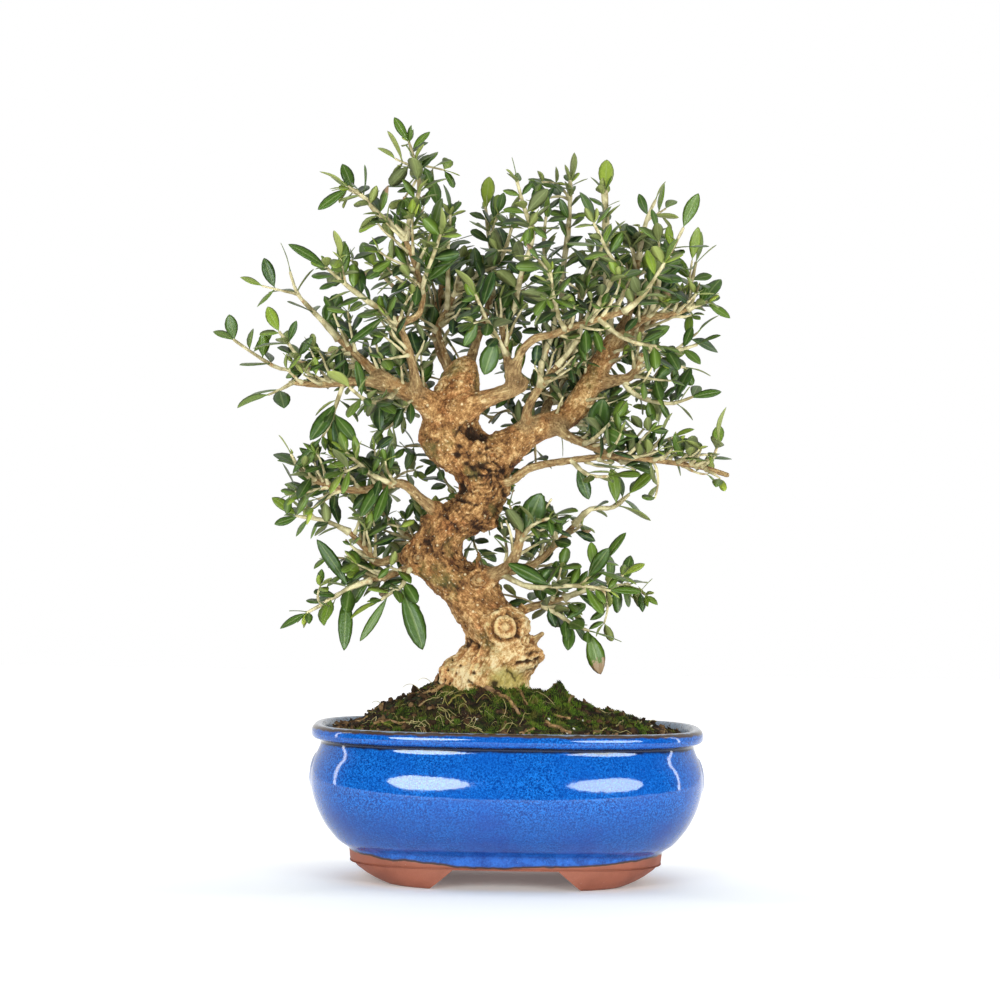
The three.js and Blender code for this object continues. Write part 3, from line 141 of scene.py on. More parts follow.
# %% Softboxes, side strips and the panel above
POT_BELLY = (0.0, 0.0, 0.05)
CROWN_MIDDLE = (0.0, 0.0, 0.28)
COOL = (0.90, 1.0, 0.98)
WHITE = (1, 1, 1)
LAMPS = [  # name, spot and aim in metres from the pot's middle, width and height, power, shape, colour
    ("softbox_left", (-0.46, -1.18, 0.33), POT_BELLY, (0.76, 0.36), 10.4, "ELLIPSE", COOL),
    ("softbox_right", (0.66, -1.10, 0.33), POT_BELLY, (0.92, 0.36), 10.4, "ELLIPSE", COOL),
    ("strip_left", (-1.30, 0.10, 0.50), POT_BELLY, (0.10, 1.30), 3.6, "RECTANGLE", WHITE),
    ("strip_right", (1.30, 0.10, 0.50), POT_BELLY, (0.10, 1.30), 3.6, "RECTANGLE", WHITE),
    ("panel_above", (0.0, -0.25, 1.70), CROWN_MIDDLE, (1.60, 1.40), 6.0, "RECTANGLE", WHITE),
]
for name, spot, aim, (width, height), power, outline, colour in LAMPS:
    light = bpy.data.lights.new(name, "AREA")
    light.shape = outline
    light.size, light.size_y = width, height
    light.energy = power
    light.color = colour
    holder = show(name, light)
    holder.location = POT_MIDDLE + Vector(spot)
    holder.rotation_euler = (Vector(aim) - Vector(spot)).to_track_quat("-Z", "Y").to_euler()
print("lamps:", len(LAMPS))

# %% How a node is added


def tone(code):
    """A colour written the way a paint shop writes it, as the linear numbers that nodes want."""
    values = [int(code[i:i + 2], 16) / 255 for i in (0, 2, 4)]
    return [c / 12.92 if c < 0.04045 else ((c + 0.055) / 1.055) ** 2.4 for c in values] + [1.0]


def feed(socket, value):
    """Fills a socket with the result of another node, a colour code or a plain number."""
    if isinstance(value, bpy.types.NodeSocket):
        socket.id_data.links.new(value, socket)
    else:
        socket.default_value = tone(value) if isinstance(value, str) else value


def add_node(tree, kind, inputs=None, **settings):
    node = tree.nodes.new(kind)
    for key, value in settings.items():
        setattr(node, key, value)
    for key, value in (inputs or {}).items():
        feed(node.inputs[key], value)
    return node


# %% The room: bright behind, dim in front
DIM_FRONT = 0.05
BRIGHT_BACK = 1.05

world = bpy.data.worlds.new("studio")
bpy.context.scene.world = world
world.use_nodes = True
sky = world.node_tree
sky.nodes.clear()
heading = add_node(sky, "ShaderNodeTexCoord").outputs["Generated"]
behind = add_node(sky, "ShaderNodeSeparateXYZ", {0: heading}).outputs["Y"]
fade = add_node(sky, "ShaderNodeMapRange", {
    "Value": behind, "From Min": -0.35, "From Max": 0.45, "To Min": DIM_FRONT, "To Max": BRIGHT_BACK,
}, interpolation_type="SMOOTHSTEP").outputs[0]
lit = add_node(sky, "ShaderNodeBackground", {"Strength": fade}).outputs[0]
plain = add_node(sky, "ShaderNodeBackground", {"Strength": 1.0, "Color": (1, 1, 1, 1)}).outputs[0]
seen = add_node(sky, "ShaderNodeLightPath").outputs["Is Camera Ray"]
either = add_node(sky, "ShaderNodeMixShader", {0: seen, 1: lit, 2: plain}).outputs[0]
add_node(sky, "ShaderNodeOutputWorld", {0: either})
print("room:", len(sky.nodes), "nodes")

# %% [markdown]
# ## Materials from nodes
# A surface is never one flat colour. Each material below mixes two or three tones with a noise, lets the
# roughness wander a little and adds a fine relief. A small set of helpers keeps each recipe short.

# %% Recipe helpers


class Recipe:
    """A material under construction, with short names for the nodes it uses."""

    def __init__(self, name):
        self.material = bpy.data.materials.new(name)
        self.material.use_nodes = True
        self.tree = self.material.node_tree
        self.surface = self.tree.nodes["Principled BSDF"].inputs
        self.place = self.add("ShaderNodeTexCoord").outputs["Object"]

    def add(self, kind, inputs=None, **settings):
        return add_node(self.tree, kind, inputs, **settings)

    def attribute(self, name, output="Fac"):
        return self.add("ShaderNodeAttribute", attribute_name=name).outputs[output]

    def noise(self, scale, detail=3.0, rough=0.55, warp=0.0, place=None):
        return self.add("ShaderNodeTexNoise", {
            "Vector": place or self.place, "Scale": scale, "Detail": detail, "Roughness": rough,
            "Distortion": warp,
        }).outputs["Fac"]

    def cells(self, scale):
        return self.add("ShaderNodeTexVoronoi", {"Vector": self.place, "Scale": scale}).outputs["Distance"]

    def spread(self, value, low, high, start=0.0, end=1.0, smooth=True):
        """Stretches low..high to start..end and holds it there outside."""
        return self.add("ShaderNodeMapRange", {
            "Value": value, "From Min": low, "From Max": high, "To Min": start, "To Max": end,
        }, interpolation_type="SMOOTHSTEP" if smooth else "LINEAR").outputs[0]

    def patches(self, low, high, strength, *kind):
        """Soft patches of a noise, from nothing at `low` to their full strength at `high`."""
        return self.spread(self.noise(*kind), low, high, 0.0, strength)

    def dots(self, scale, reach, strength):
        return self.spread(self.cells(scale), 0.0, reach, strength, 0.0)

    def sum(self, operation, first, second=0.0):
        return self.add("ShaderNodeMath", {0: first, 1: second}, operation=operation).outputs[0]

    def times(self, first, second):
        return self.sum("MULTIPLY", first, second)

    def minus(self, first, second):
        return self.sum("SUBTRACT", first, second)

    def plain_size(self, value):
        return self.sum("ABSOLUTE", value)

    def square(self, value):
        return self.sum("POWER", self.plain_size(value), 2.0)

    def weigh(self, *terms):
        """Adds up values, each given alone or as (value, weight)."""
        terms = [self.times(*term) if isinstance(term, tuple) else term for term in terms]
        total = terms[0]
        for term in terms[1:]:
            total = self.sum("ADD", total, term)
        return total

    def mix(self, share, first, second, how="MIX"):
        return self.add(
            "ShaderNodeMix", {0: share, 6: first, 7: second}, data_type="RGBA", blend_type=how,
        ).outputs[2]

    def layers(self, colour, *rows):
        """Lays tones over a colour one after another, each given as (share, tone)."""
        for share, *over in rows:
            colour = self.mix(share, colour, *over)
        return colour

    def ramp(self, value, stops):
        """Several tones in a row, each given as (place from 0 to 1, colour)."""
        node = self.add("ShaderNodeValToRGB", {0: value})
        elements = node.color_ramp.elements
        elements[0].position, elements[0].color = stops[0][0], tone(stops[0][1])
        elements[1].position, elements[1].color = stops[-1][0], tone(stops[-1][1])
        for place, code in stops[1:-1]:
            elements.new(place).color = tone(code)
        return node.outputs[0]

    def axes(self, place=None):
        return self.add("ShaderNodeSeparateXYZ", {0: place or self.place}).outputs

    def relief(self, height, distance, strength=1.0):
        feed(self.surface["Normal"], self.add("ShaderNodeBump", {
            "Height": height, "Distance": distance, "Strength": strength,
        }).outputs[0])

    def finish(self, colour, roughness, specular=0.5):
        feed(self.surface["Base Color"], colour)
        feed(self.surface["Roughness"], roughness)
        feed(self.surface["Specular IOR Level"], specular)
        return self.material


# %% [markdown]
# ## The table
# A plain pale surface carries the pot. It is a single large face, since nothing on it needs more, and it
# glows a little, a painted light that is stronger far away from the lamps, so that only the soft shadow under
# the pot shows on it. Near the pot the glow fades, which paints a shadow under the pot.

# %% Table
TABLE_REACH = 2.2

paper = Recipe("pale_table")
table_x, table_y, _ = paper.axes()
aside = paper.minus(paper.plain_size(table_x), 0.25)
before = paper.minus(paper.times(table_y, -1.0), 1.7)
far_off = paper.sum("MAXIMUM", table_y, paper.sum("MAXIMUM", aside, before))
sideways = paper.plain_size(paper.minus(table_x, POT_MIDDLE.x))
from_pot = paper.sum("MAXIMUM", sideways, paper.times(paper.plain_size(table_y), 1.3))
# Painted light: the table glows, more so far from the lamps. Near the pot the glow fades, a painted shadow.
feed(paper.surface["Emission Color"], (1, 1, 1, 1))
feed(paper.surface["Emission Strength"], paper.times(
    paper.spread(far_off, -0.30, 0.45, 0.10, 0.60), paper.spread(from_pot, 0.05, 0.13, 0.35, 1.0)
))
table_shape = bmesh.new()
bmesh.ops.create_grid(table_shape, x_segments=1, y_segments=1, size=TABLE_REACH)
table = show("table", as_mesh(table_shape, "table"))
table.data.materials.append(paper.finish(paper.mix(paper.noise(3.0), "F4F4F4", "FAFAFA"), 0.8, 0.1))
print("table:", 2 * TABLE_REACH, "m wide")

# %% [markdown]
# ## The pot: a rounded oval, spun and then bent
# The real pot is pressed clay with a rolled rim, a belly, a plinth and four cut feet. A lathe makes round
# things, and this pot isn't round, but its wall has the same outline all the way round. So the outline is
# spun into a round bowl first, and then every ring is squeezed to the oval plan.
# Extruding the plan ring by ring would also work. Spinning keeps the wall in one list that is easy to
# read: how far each point lies in from the rim, and how high it is.

# %% The outline of the wall
RIM_HALF_WIDTH = 102.0
RIM_HALF_DEPTH = 76.5
PLAN_POWER = 2.9
POT_STEPS = 168
CENTRE_INSET = 46.0  # inside this the plan only shrinks towards the middle

WALL = [  # inset from the rim, height
    (102, 10.5), (60, 10.5), (24, 10.5), (21.6, 10.8), (20.8, 12), (20.5, 14.5), (20.2, 16.6),
    (19.2, 17.8), (17.2, 19.2), (14, 21.6), (10, 26.2), (6.5, 31), (3.4, 37.0), (1.3, 43), (0.1, 48),
    (-0.4, 52), (-0.35, 55.0), (0.05, 58.5), (0.8, 61.8), (1.7, 64.4), (2.8, 66.8), (3.75, 69.0),
    (4.25, 70.5), (4.5, 72), (4.3, 73.2), (2.0, 74.1), (0.6, 74.7), (-0.1, 75.9), (-0.1, 78), (0.3, 79.6),
    (1.4, 80.8), (3.0, 81.3), (5.0, 81.1), (6.4, 80.3), (7.2, 78.8), (7.9, 75), (8.2, 70), (6.8, 60),
    (6.2, 52), (7.4, 44), (9.7, 37), (13, 30), (18, 24), (23, 19.4), (28, 17.3), (33, 17), (60, 17),
    (102, 17),
]


def soft_path(points, steps):
    """A smooth path through the points, with `steps` pieces between each two of them."""
    rows = [Vector(point) for point in points]
    ends = [rows[0]] + rows + [rows[-1]]
    path = []
    for before, here, after, last in zip(ends, ends[1:], ends[2:], ends[3:]):
        for step in range(steps):
            t = step / steps
            path.append(0.5 * (
                2 * here + (after - before) * t + (2 * before - 5 * here + 4 * after - last) * t * t
                + (3 * here - before - 3 * after + last) * t ** 3
            ))
    return path + [rows[-1]]


def plan_point(angle, inset, height):
    """A point of the rounded oval that lies `inset` within the rim."""
    cosine, sine = math.cos(angle), math.sin(angle)
    reach = (abs(cosine) ** PLAN_POWER + abs(sine) ** PLAN_POWER) ** (-1 / PLAN_POWER)
    held = min(inset, CENTRE_INSET)
    shrink = (RIM_HALF_WIDTH - inset) / (RIM_HALF_WIDTH - held)
    return Vector((
        (RIM_HALF_WIDTH - held) * reach * cosine * shrink,
        (RIM_HALF_DEPTH - held) * reach * sine * shrink,
        height,
    ))


def spin_round(outline, steps, closed=False):
    """A lathe: points of (inset, height), joined up and spun round the upright axis."""
    shape = bmesh.new()
    points = [shape.verts.new((RIM_HALF_WIDTH - inset, 0, height)) for inset, height in outline]
    edges = [shape.edges.new(pair) for pair in zip(points, points[1:] + points[:closed])]
    bmesh.ops.spin(
        shape, geom=points + edges, cent=(0, 0, 0), axis=(0, 0, 1), angle=TURN, steps=steps, use_merge=True,
    )
    return shape


def spun(outline, steps):
    """A closed solid of the pot's plan from an outline that starts and ends in the middle."""
    shape = spin_round(outline, steps)
    for vert in shape.verts:
        x, y, height = vert.co
        vert.co = plan_point(math.atan2(y, x), RIM_HALF_WIDTH - math.hypot(x, y), height)
    bmesh.ops.remove_doubles(shape, verts=shape.verts, dist=0.002)
    bmesh.ops.recalc_face_normals(shape, faces=shape.faces)
    return shape


# %% Spin the wall
outline = [tuple(point) for point in soft_path(WALL, 3)]
outline = [(min(max(inset, -0.6), RIM_HALF_WIDTH), height) for inset, height in outline]
pot_shape = spun(outline, POT_STEPS)
print("wall of the pot:", len(outline), "rings of", POT_STEPS)

# %% [markdown]
# The belly of the real pot isn't the same all round. On the long front it swells lowest, and on the short
# ends it swells a little higher and carries a low oval boss. Both are gentle moves of points that are there
# already.

# %% Belly and end bosses
BELLY_DROP = 6.5
BELLY_LOW, BELLY_HIGH = 18.5, 72.0
BOSS_HEIGHT = 57.0


def bell(value):
    return math.exp(-value * value)


def clamp(value, low=0.0, high=1.0):
    return max(low, min(high, value))


for vert in pot_shape.verts:
    x, y, z = vert.co
    outer = (abs(x) / 96.0) ** PLAN_POWER + (abs(y) / 70.5) ** PLAN_POWER
    if BELLY_LOW < z < BELLY_HIGH and outer > (0.62 if z < 30 else 0.8):
        share = math.sin(math.pi * (z - BELLY_LOW) / (BELLY_HIGH - BELLY_LOW)) ** 1.3
        vert.co.z -= BELLY_DROP * share * max(0.0, 1 - (abs(x) / 96) ** 2.2)
        plateau = max(0.0, 1 - (y / 17) ** 4 - ((z - BOSS_HEIGHT) / 9) ** 4)
        if abs(x) > 90 and plateau > 0:
            vert.co.x += math.copysign(0.8 * plateau ** 0.35, x)
print("belly drops by up to", BELLY_DROP, "mm")

# %% [markdown]
# The feet come from a shallow skirt under the plinth. Two long prisms with a curved flank are cut out of
# it, which leaves a foot at each corner. A boolean cut is the plain way here, because on the real pot the
# gaps were cut out of the skirt too. The two drainage holes are drilled the same way.

# %% Cutting one shape with others


def applied(body, helpers=()):
    """The mesh of a body with its modifiers applied. The body and its helpers are thrown away."""
    bpy.context.view_layer.update()
    mesh = bpy.data.meshes.new_from_object(body.evaluated_get(bpy.context.evaluated_depsgraph_get()))
    for used in (body, *helpers):
        old = used.data
        bpy.data.objects.remove(used)
        bpy.data.meshes.remove(old)
    return mesh


def modify(body, kind, **settings):
    modifier = body.modifiers.new(kind.lower(), kind)
    for key, value in settings.items():
        setattr(modifier, key, value)


def as_object(shape, name):
    return show(name, as_mesh(shape, name))


def cut_away(shape, cutters, bevel=0.0):
    """The shape without the cutters, its new edges rounded a little."""
    body = as_object(shape, "body_to_cut")
    helpers = [as_object(cutter, "cutter") for cutter in cutters]
    for helper in helpers:
        modify(body, "BOOLEAN", operation="DIFFERENCE", solver="EXACT", object=helper)
    if bevel:
        modify(body, "BEVEL", width=bevel, segments=3, limit_method="ANGLE", angle_limit=math.radians(38))
    cut_mesh = applied(body, helpers)
    result = bmesh.new()
    result.from_mesh(cut_mesh)
    bpy.data.meshes.remove(cut_mesh)
    return result


def foot_gap(half_top, half_bottom, along_x):
    """A long bar with two curved flanks, as wide as the gap between two feet."""
    flank = []
    for step in range(9):
        t = step / 8
        side = (1 - t) ** 2 * half_bottom + 2 * t * (1 - t) * (half_top + 3) + t * t * half_top
        height = -1 * (1 - t) ** 2 + 2 * t * (1 - t) * 7.5 + t * t * 10.3
        flank.append((side, height))
    half_length = 150
    shape = bmesh.new()
    corners = flank + [(-side, height) for side, height in reversed(flank)]
    face = shape.faces.new([shape.verts.new((x, -half_length, z)) for x, z in corners])
    grown = bmesh.ops.extrude_face_region(shape, geom=[face])["geom"]
    moved = [item for item in grown if isinstance(item, bmesh.types.BMVert)]
    bmesh.ops.translate(shape, vec=(0, 2 * half_length, 0), verts=moved)
    if along_x:
        quarter = Matrix.Rotation(math.pi / 2, 3, "Z")
        bmesh.ops.rotate(shape, cent=(0, 0, 0), matrix=quarter, verts=shape.verts)
    bmesh.ops.recalc_face_normals(shape, faces=shape.faces)
    return shape


# %% Feet and drainage holes
SKIRT = [  # inset at the ends, height, inset at front and back
    (62, 0.3, 46), (40.5, 0.0, 23.5), (38.8, 0.3, 22.2), (36, 1.4, 21.5), (32.5, 3.0, 21.2), (28.5, 5.2, 21),
    (24.5, 8.0, 20.9), (21.6, 11.0, 20.9), (40, 11.2, 40), (56, 10.4, 56), (60, 5, 58),
]
HOLE_X = 38.0

skirt_shape = spin_round([row[:2] for row in SKIRT], 120, closed=True)
front_inset = {round(inset, 1): inset_front for inset, _, inset_front in SKIRT}
for vert in skirt_shape.verts:
    x, y, z = vert.co
    inset = RIM_HALF_WIDTH - math.hypot(x, y)
    held = min(inset, CENTRE_INSET)
    vert.co = plan_point(math.atan2(y, x), held, z)
    vert.co.x *= (RIM_HALF_WIDTH - inset) / (RIM_HALF_WIDTH - held)
    vert.co.y *= (RIM_HALF_DEPTH - front_inset[round(inset, 1)]) / (RIM_HALF_DEPTH - held)
bmesh.ops.recalc_face_normals(skirt_shape, faces=skirt_shape.faces)
feet_shape = cut_away(skirt_shape, [foot_gap(27, 40, False), foot_gap(14, 24, True)], bevel=0.8)

drills = []
for hole_x in (-HOLE_X, HOLE_X):
    drills.append(bmesh.new())
    bmesh.ops.create_cone(
        drills[-1], cap_ends=True, segments=40, radius1=7, radius2=7, depth=14,
        matrix=Matrix.Translation((hole_x, 0, 13.5)),
    )
pot_shape = cut_away(pot_shape, drills)
pot_shape.from_mesh(as_mesh(feet_shape, "feet"))
print("pot faces:", len(pot_shape.faces))

# %% [markdown]
# ## Blue glaze over red clay
# Where it lies thick, the glaze is a deep cobalt blue with fine pale mottling. It breaks to brown on the
# rim's upper edge, is nearly black in the groove under the rim, turns pale and greyish on the lip, and stops
# in a wavy brown line above the bare red clay of plinth and feet. All of this depends on height, so the
# height of a point picks its tone and a little noise makes the borders uneven.

# %% Glaze recipe
glaze = Recipe("cobalt_glaze")
glaze_x, _, glaze_z = glaze.axes()
towards_end = glaze.square(glaze.times(glaze.minus(glaze_x, POT_MIDDLE.x), 1 / 0.085))
end_rise = glaze.times(glaze.times(towards_end, 0.0052), glaze.spread(glaze_z, 0.019, 0.026, 1.0, 0.0))
wave = glaze.spread(glaze.noise(55, 3), 0.3, 0.7, -0.0008, 0.0008, smooth=False)
fine_wave = glaze.spread(glaze.noise(160, 3), 0.3, 0.7, -0.0005, 0.0005, smooth=False)
level = glaze.minus(glaze.weigh(glaze_z, wave), end_rise)
fine_level = glaze.weigh(glaze_z, fine_wave)

mottle = glaze.noise(1050, 4, 0.8)
pale = glaze.spread(mottle, 0.42, 0.60)
cloud = glaze.noise(38, 3)
runs = glaze.times(glaze.spread(level, 0.0125, 0.028, 0.5, 0.0), glaze.patches(0.40, 0.62, 1.0, 150, 4, 0.7))
groove = glaze.times(
    glaze.spread(fine_level, 0.0708, 0.0722), glaze.spread(fine_level, 0.0736, 0.0746, 0.92, 0.0)
)
bare = glaze.spread(level, 0.0114, 0.0119, 1.0, 0.0)
blue = glaze.layers(
    glaze.mix(pale, "04347E", "1A70CC"), (glaze.spread(cloud, 0.35, 0.7, 0.0, 0.5), "0A4CA6"),
)
low_blue = glaze.layers(
    glaze.mix(pale, "0A3E84", "185EB2"), (glaze.spread(cloud, 0.35, 0.65, 0.0, 0.55), "1A3A8C"),
    (runs, "2C74D6"),
)
clay_grain = glaze.noise(1500, 3, 0.7)
clay = glaze.layers(
    glaze.mix(clay_grain, "8A4631", "A5614A"), (glaze.patches(0.4, 0.75, 0.55, 60, 3), "753C2A"),
    (glaze.dots(260, 0.09, 0.5), "C9A592"),
)
pot_colour = glaze.layers(
    glaze.mix(glaze.spread(level, 0.034, 0.046), low_blue, blue),
    (glaze.dots(420, 0.14, 0.35), "7FA6E6"),
    (glaze.spread(level, 0.0122, 0.0132, 1.0, 0.0), "3B2A26"),
    (groove, "141012"),
    (glaze.spread(fine_level, 0.0790, 0.0800), glaze.mix(glaze.noise(300, 2), "2A1C18", "4C362C")),
    (glaze.spread(fine_level, 0.0808, 0.0813), glaze.mix(glaze.noise(260, 3), "5F7296", "8FA0B8")),
    (bare, clay),
)
pot_gloss = glaze.weigh(glaze.spread(mottle, 0.3, 0.7, 0.05, 0.09), (bare, 0.6))
glaze.relief(glaze.weigh(glaze.noise(120, 2), (glaze.times(clay_grain, bare), 1.4)), 0.00022, 0.35)
cobalt_glaze = glaze.finish(pot_colour, pot_gloss, 0.5)
print("glaze:", len(glaze.tree.nodes), "nodes")

# %% [markdown]
# The inside of the pot is glazed only near the lip and stays greyish, since the glaze ran thin there.

# %% Inner lip
inner = Recipe("thin_inner_glaze")
streaky = inner.noise(500, 3)
inner_colour = inner.layers(
    inner.mix(inner.noise(140, 4), "54667F", "8E9DB2"), (inner.spread(streaky, 0.5, 0.7), "3E3A3C"),
)
inner.relief(streaky, 0.0002, 0.5)
thin_glaze = inner.finish(inner_colour, inner.spread(inner.noise(90), 0.3, 0.7, 0.12, 0.3))

pot_shape.faces.ensure_lookup_table()
pot_shape.normal_update()
for face in pot_shape.faces:
    centre = face.calc_center_median()
    inward = -(centre.x * face.normal.x + centre.y * face.normal.y)
    face.material_index = 1 if centre.z > 17.5 and inward > 0.25 * centre.xy.length else 0
finish_piece("glazed_pot", pot_shape, [cobalt_glaze, thin_glaze], ["pot"], crease=40)

# %% [markdown]
# ## Drainage screens
# Under the soil a square of plastic lies over each drainage hole, and only a round spot of it can be seen
# through the hole from below. So its openings aren't cut: a grid with its faces inset marks where the bars
# run, and Solidify gives it its thickness.

# %% Screens over the holes
SCREEN_SIDE = 22.0
SCREEN_Z = 17.8

net = Recipe("screen_plastic")
net_tone = net.mix(net.noise(400), "1B1E1A", "2A2E29")
screen_plastic = net.finish(net_tone, net.spread(net.noise(900), 0.3, 0.7, 0.45, 0.65))
for hole_x, label in ((-HOLE_X, "left"), (HOLE_X, "right")):
    screen = bmesh.new()
    bmesh.ops.create_grid(
        screen, x_segments=11, y_segments=11, size=SCREEN_SIDE / 2,
        matrix=Matrix.Translation((hole_x, 0, SCREEN_Z)),
    )
    bmesh.ops.inset_individual(screen, faces=screen.faces, thickness=0.35)
    bmesh.ops.solidify(screen, geom=screen.faces, thickness=0.7)
    bmesh.ops.recalc_face_normals(screen, faces=screen.faces)
    node = f"drain_screen_{label}"
    finish_piece(node + "_mesh", screen, [screen_plastic], [node])

# %% [markdown]
# ## The soil
# The soil fills the pot up to just below the lip and rises to a mound under the trunk. Its surface is a
# crumbly mix of peat and grit. It is spun like the pot, with many rings on top, bent to the same plan, and
# then raised to its height. Noise in three sizes makes lumps, crumbs and a broken edge.
# A flat disc with a bump map would be cheaper, but its outline against the light would be smooth.

# %% Height of the soil
SOIL_EDGE_Z = 77.0
SOIL_INSET = 8.9
SOIL_WALL = [
    (102, 17.4), (60, 17.4), (27.3, 17.4), (18.3, 24), (9.8, 37), (6.9, 52), (SOIL_INSET, 72),
    (SOIL_INSET, 76),
]
TOP_RINGS = 60
CLODS = [  # x, y, height and size
    (27, -2, 7.5, 4.2), (23, -6, 3.0, 4.0), (-64, 0, 3.2, 5.0), (-37, 2, 2.4, 4.5), (77, 4, 3.0, 4.5),
    (66, 2, 1.6, 3.5), (-50, -30, 2.2, 5.0), (2, -42, 1.8, 5.0), (48, -34, 2.2, 5.5), (-20, 40, 2.5, 6.0),
    (40, 36, 2.5, 6.0), (-56, 34, 2.5, 5.0),
]


def ground(x, y):
    """How high the soil is: the mound, the hump on the right and the clods, with crumbs on them."""
    mound = 29 * math.exp(-(((x + 16) / 42) ** 2 + ((y - 4) / 34) ** 2) / 2)
    hump = 6 * math.exp(-((math.hypot(x - 56, y + 2) / 17) ** 2) / 2)
    lumps = 0.9 * math.sin(0.21 * x + 1.3) * math.cos(0.24 * y + 0.4)
    for clod_x, clod_y, height, size in CLODS:
        lumps += height * bell(math.hypot(x - clod_x, y - clod_y) / size)
    edge = max(0.0, 1 - (x / 94) ** 4) * max(0.0, 1 - (y / 68.5) ** 4)
    spot = Vector((x, y, 0))
    crumbs = 2.2 * noise.noise(spot / 11.0) + 1.5 * noise.noise(spot / 5.0 + Vector((9, 4, 1)))
    crumbs += 1.1 * abs(noise.noise(spot / 2.3 + Vector((3, 8, 2)))) + 0.6 * noise.noise(spot / 1.1)
    return SOIL_EDGE_Z + edge * (mound + hump + lumps) + crumbs


# %% Spin and raise the soil
span = RIM_HALF_WIDTH - SOIL_INSET
top_rings = [(SOIL_INSET + span * i / TOP_RINGS, SOIL_EDGE_Z) for i in range(1, TOP_RINGS)]
soil_shape = spun(SOIL_WALL + top_rings + [(RIM_HALF_WIDTH, SOIL_EDGE_Z)], 260)
for vert in soil_shape.verts:
    x, y, z = vert.co
    if z > SOIL_EDGE_Z - 0.5:
        vert.co.z = ground(x, y)
bmesh.ops.recalc_face_normals(soil_shape, faces=soil_shape.faces)
print("soil:", TOP_RINGS, "rings on top")

# %% [markdown]
# Peat is dark brown to nearly black, warm brown on its crumbs, and carries near-black patches, a painted
# shade of the gaps between clumps. Where moss has started, the soil itself is stained green.

# %% Soil recipe
peat = Recipe("peat_and_grit")
grains = peat.noise(900, 5, 0.7)
peat_tone = peat.layers(
    peat.mix(peat.spread(grains, 0.35, 0.7), "0C0705", "493323"),
    (peat.patches(0.5, 0.72, 1.0, 230, 4), "6A4D36"),
    (peat.patches(0.46, 0.6, 0.75, 62, 4, 0.6, 0.6), peat.mix(peat.noise(700, 3), "1C2A08", "3F5A14")),
    # Painted shade: near-black patches for the gaps between clumps.
    (peat.spread(peat.noise(330, 3, 0.6, 0.4), 0.40, 0.54, 0.8, 0.0), "060403"),
    (peat.dots(300, 0.10, 0.85), "C9B698"),
)
peat.relief(grains, 0.0008, 0.9)
peat_material = peat.finish(peat_tone, peat.spread(grains, 0.3, 0.7, 0.75, 0.98), 0.25)
finish_piece("soil_mound", soil_shape, [peat_material], ["soil"])

# %% [markdown]
# ## The trunk and its limbs
# The trunk leans out of a burl, bends back twice and forks at a dark crotch. It grew as one piece with its
# limbs, so it is drawn as many overlapping tubes that are then melted into one skin by a voxel remesh.
# Sculpting by hand would give the same skin, but a list of level slices and limb paths can be checked
# against the plain solid point by point.

# %% The trunk's slices, swellings and limbs
TRUNK_SLICES = [  # x, y, z, half-width, half-depth
    (-13, 1, 86, 22, 19), (-13, 1, 98, 22, 19), (-12, 0, 104, 20.5, 18), (-9, 0, 111, 20, 18),
    (-5, 0, 118, 19, 17), (-4, 0, 124, 16, 15.5), (-6, -1, 130, 16.5, 16), (-8.5, -1, 136, 18.5, 17),
    (-15, 0, 142, 17.5, 16), (-20.5, 1, 148, 17, 15), (-26, 2, 155, 18.5, 15.5), (-31, 3, 161, 19, 15.5),
    (-37.5, 3, 167, 16, 15), (-38.5, 3, 173, 13.5, 14.5), (-36, 2, 179, 13, 14.5),
    (-27.5, 1, 185, 17.5, 15.5), (-25.5, 0, 190, 17.5, 15.5), (-20, -1, 195.5, 14.8, 14),
    (-15.5, -1, 201, 12.8, 12.5), (-14.2, -1, 206, 12.6, 12), (-17, -1, 212, 13.6, 12.5),
    (-22, 0, 218, 17, 14), (-24, 0, 224, 19, 15), (-27, 0, 230, 18.5, 15), (-32, 0, 237, 14, 14),
    (-32, 1, 246, 13.5, 13), (-30, 2, 254, 12.3, 11.5), (-27, 3, 264, 9.5, 9), (-25, 4, 272, 6, 5.5),
]
BURLS = [  # x, y, z, how far it swells, and its size
    (-34, -4, 112, 7, 7), (-30, 14, 110, 4, 9), (17, -6, 117, 7.5, 7), (14, 12, 110, 4, 8),
    (-2, -17, 133, 4, 6.5), (-16, -13, 157, 3, 5), (-54, -2, 168, 4, 6), (-10, -12, 182, 5, 6),
    (-44, -4, 190, 4.5, 5), (-16, -14, 213, 4, 4.5), (-44, -6, 227, 3.5, 8), (-4, -4, 220, 3, 6),
]
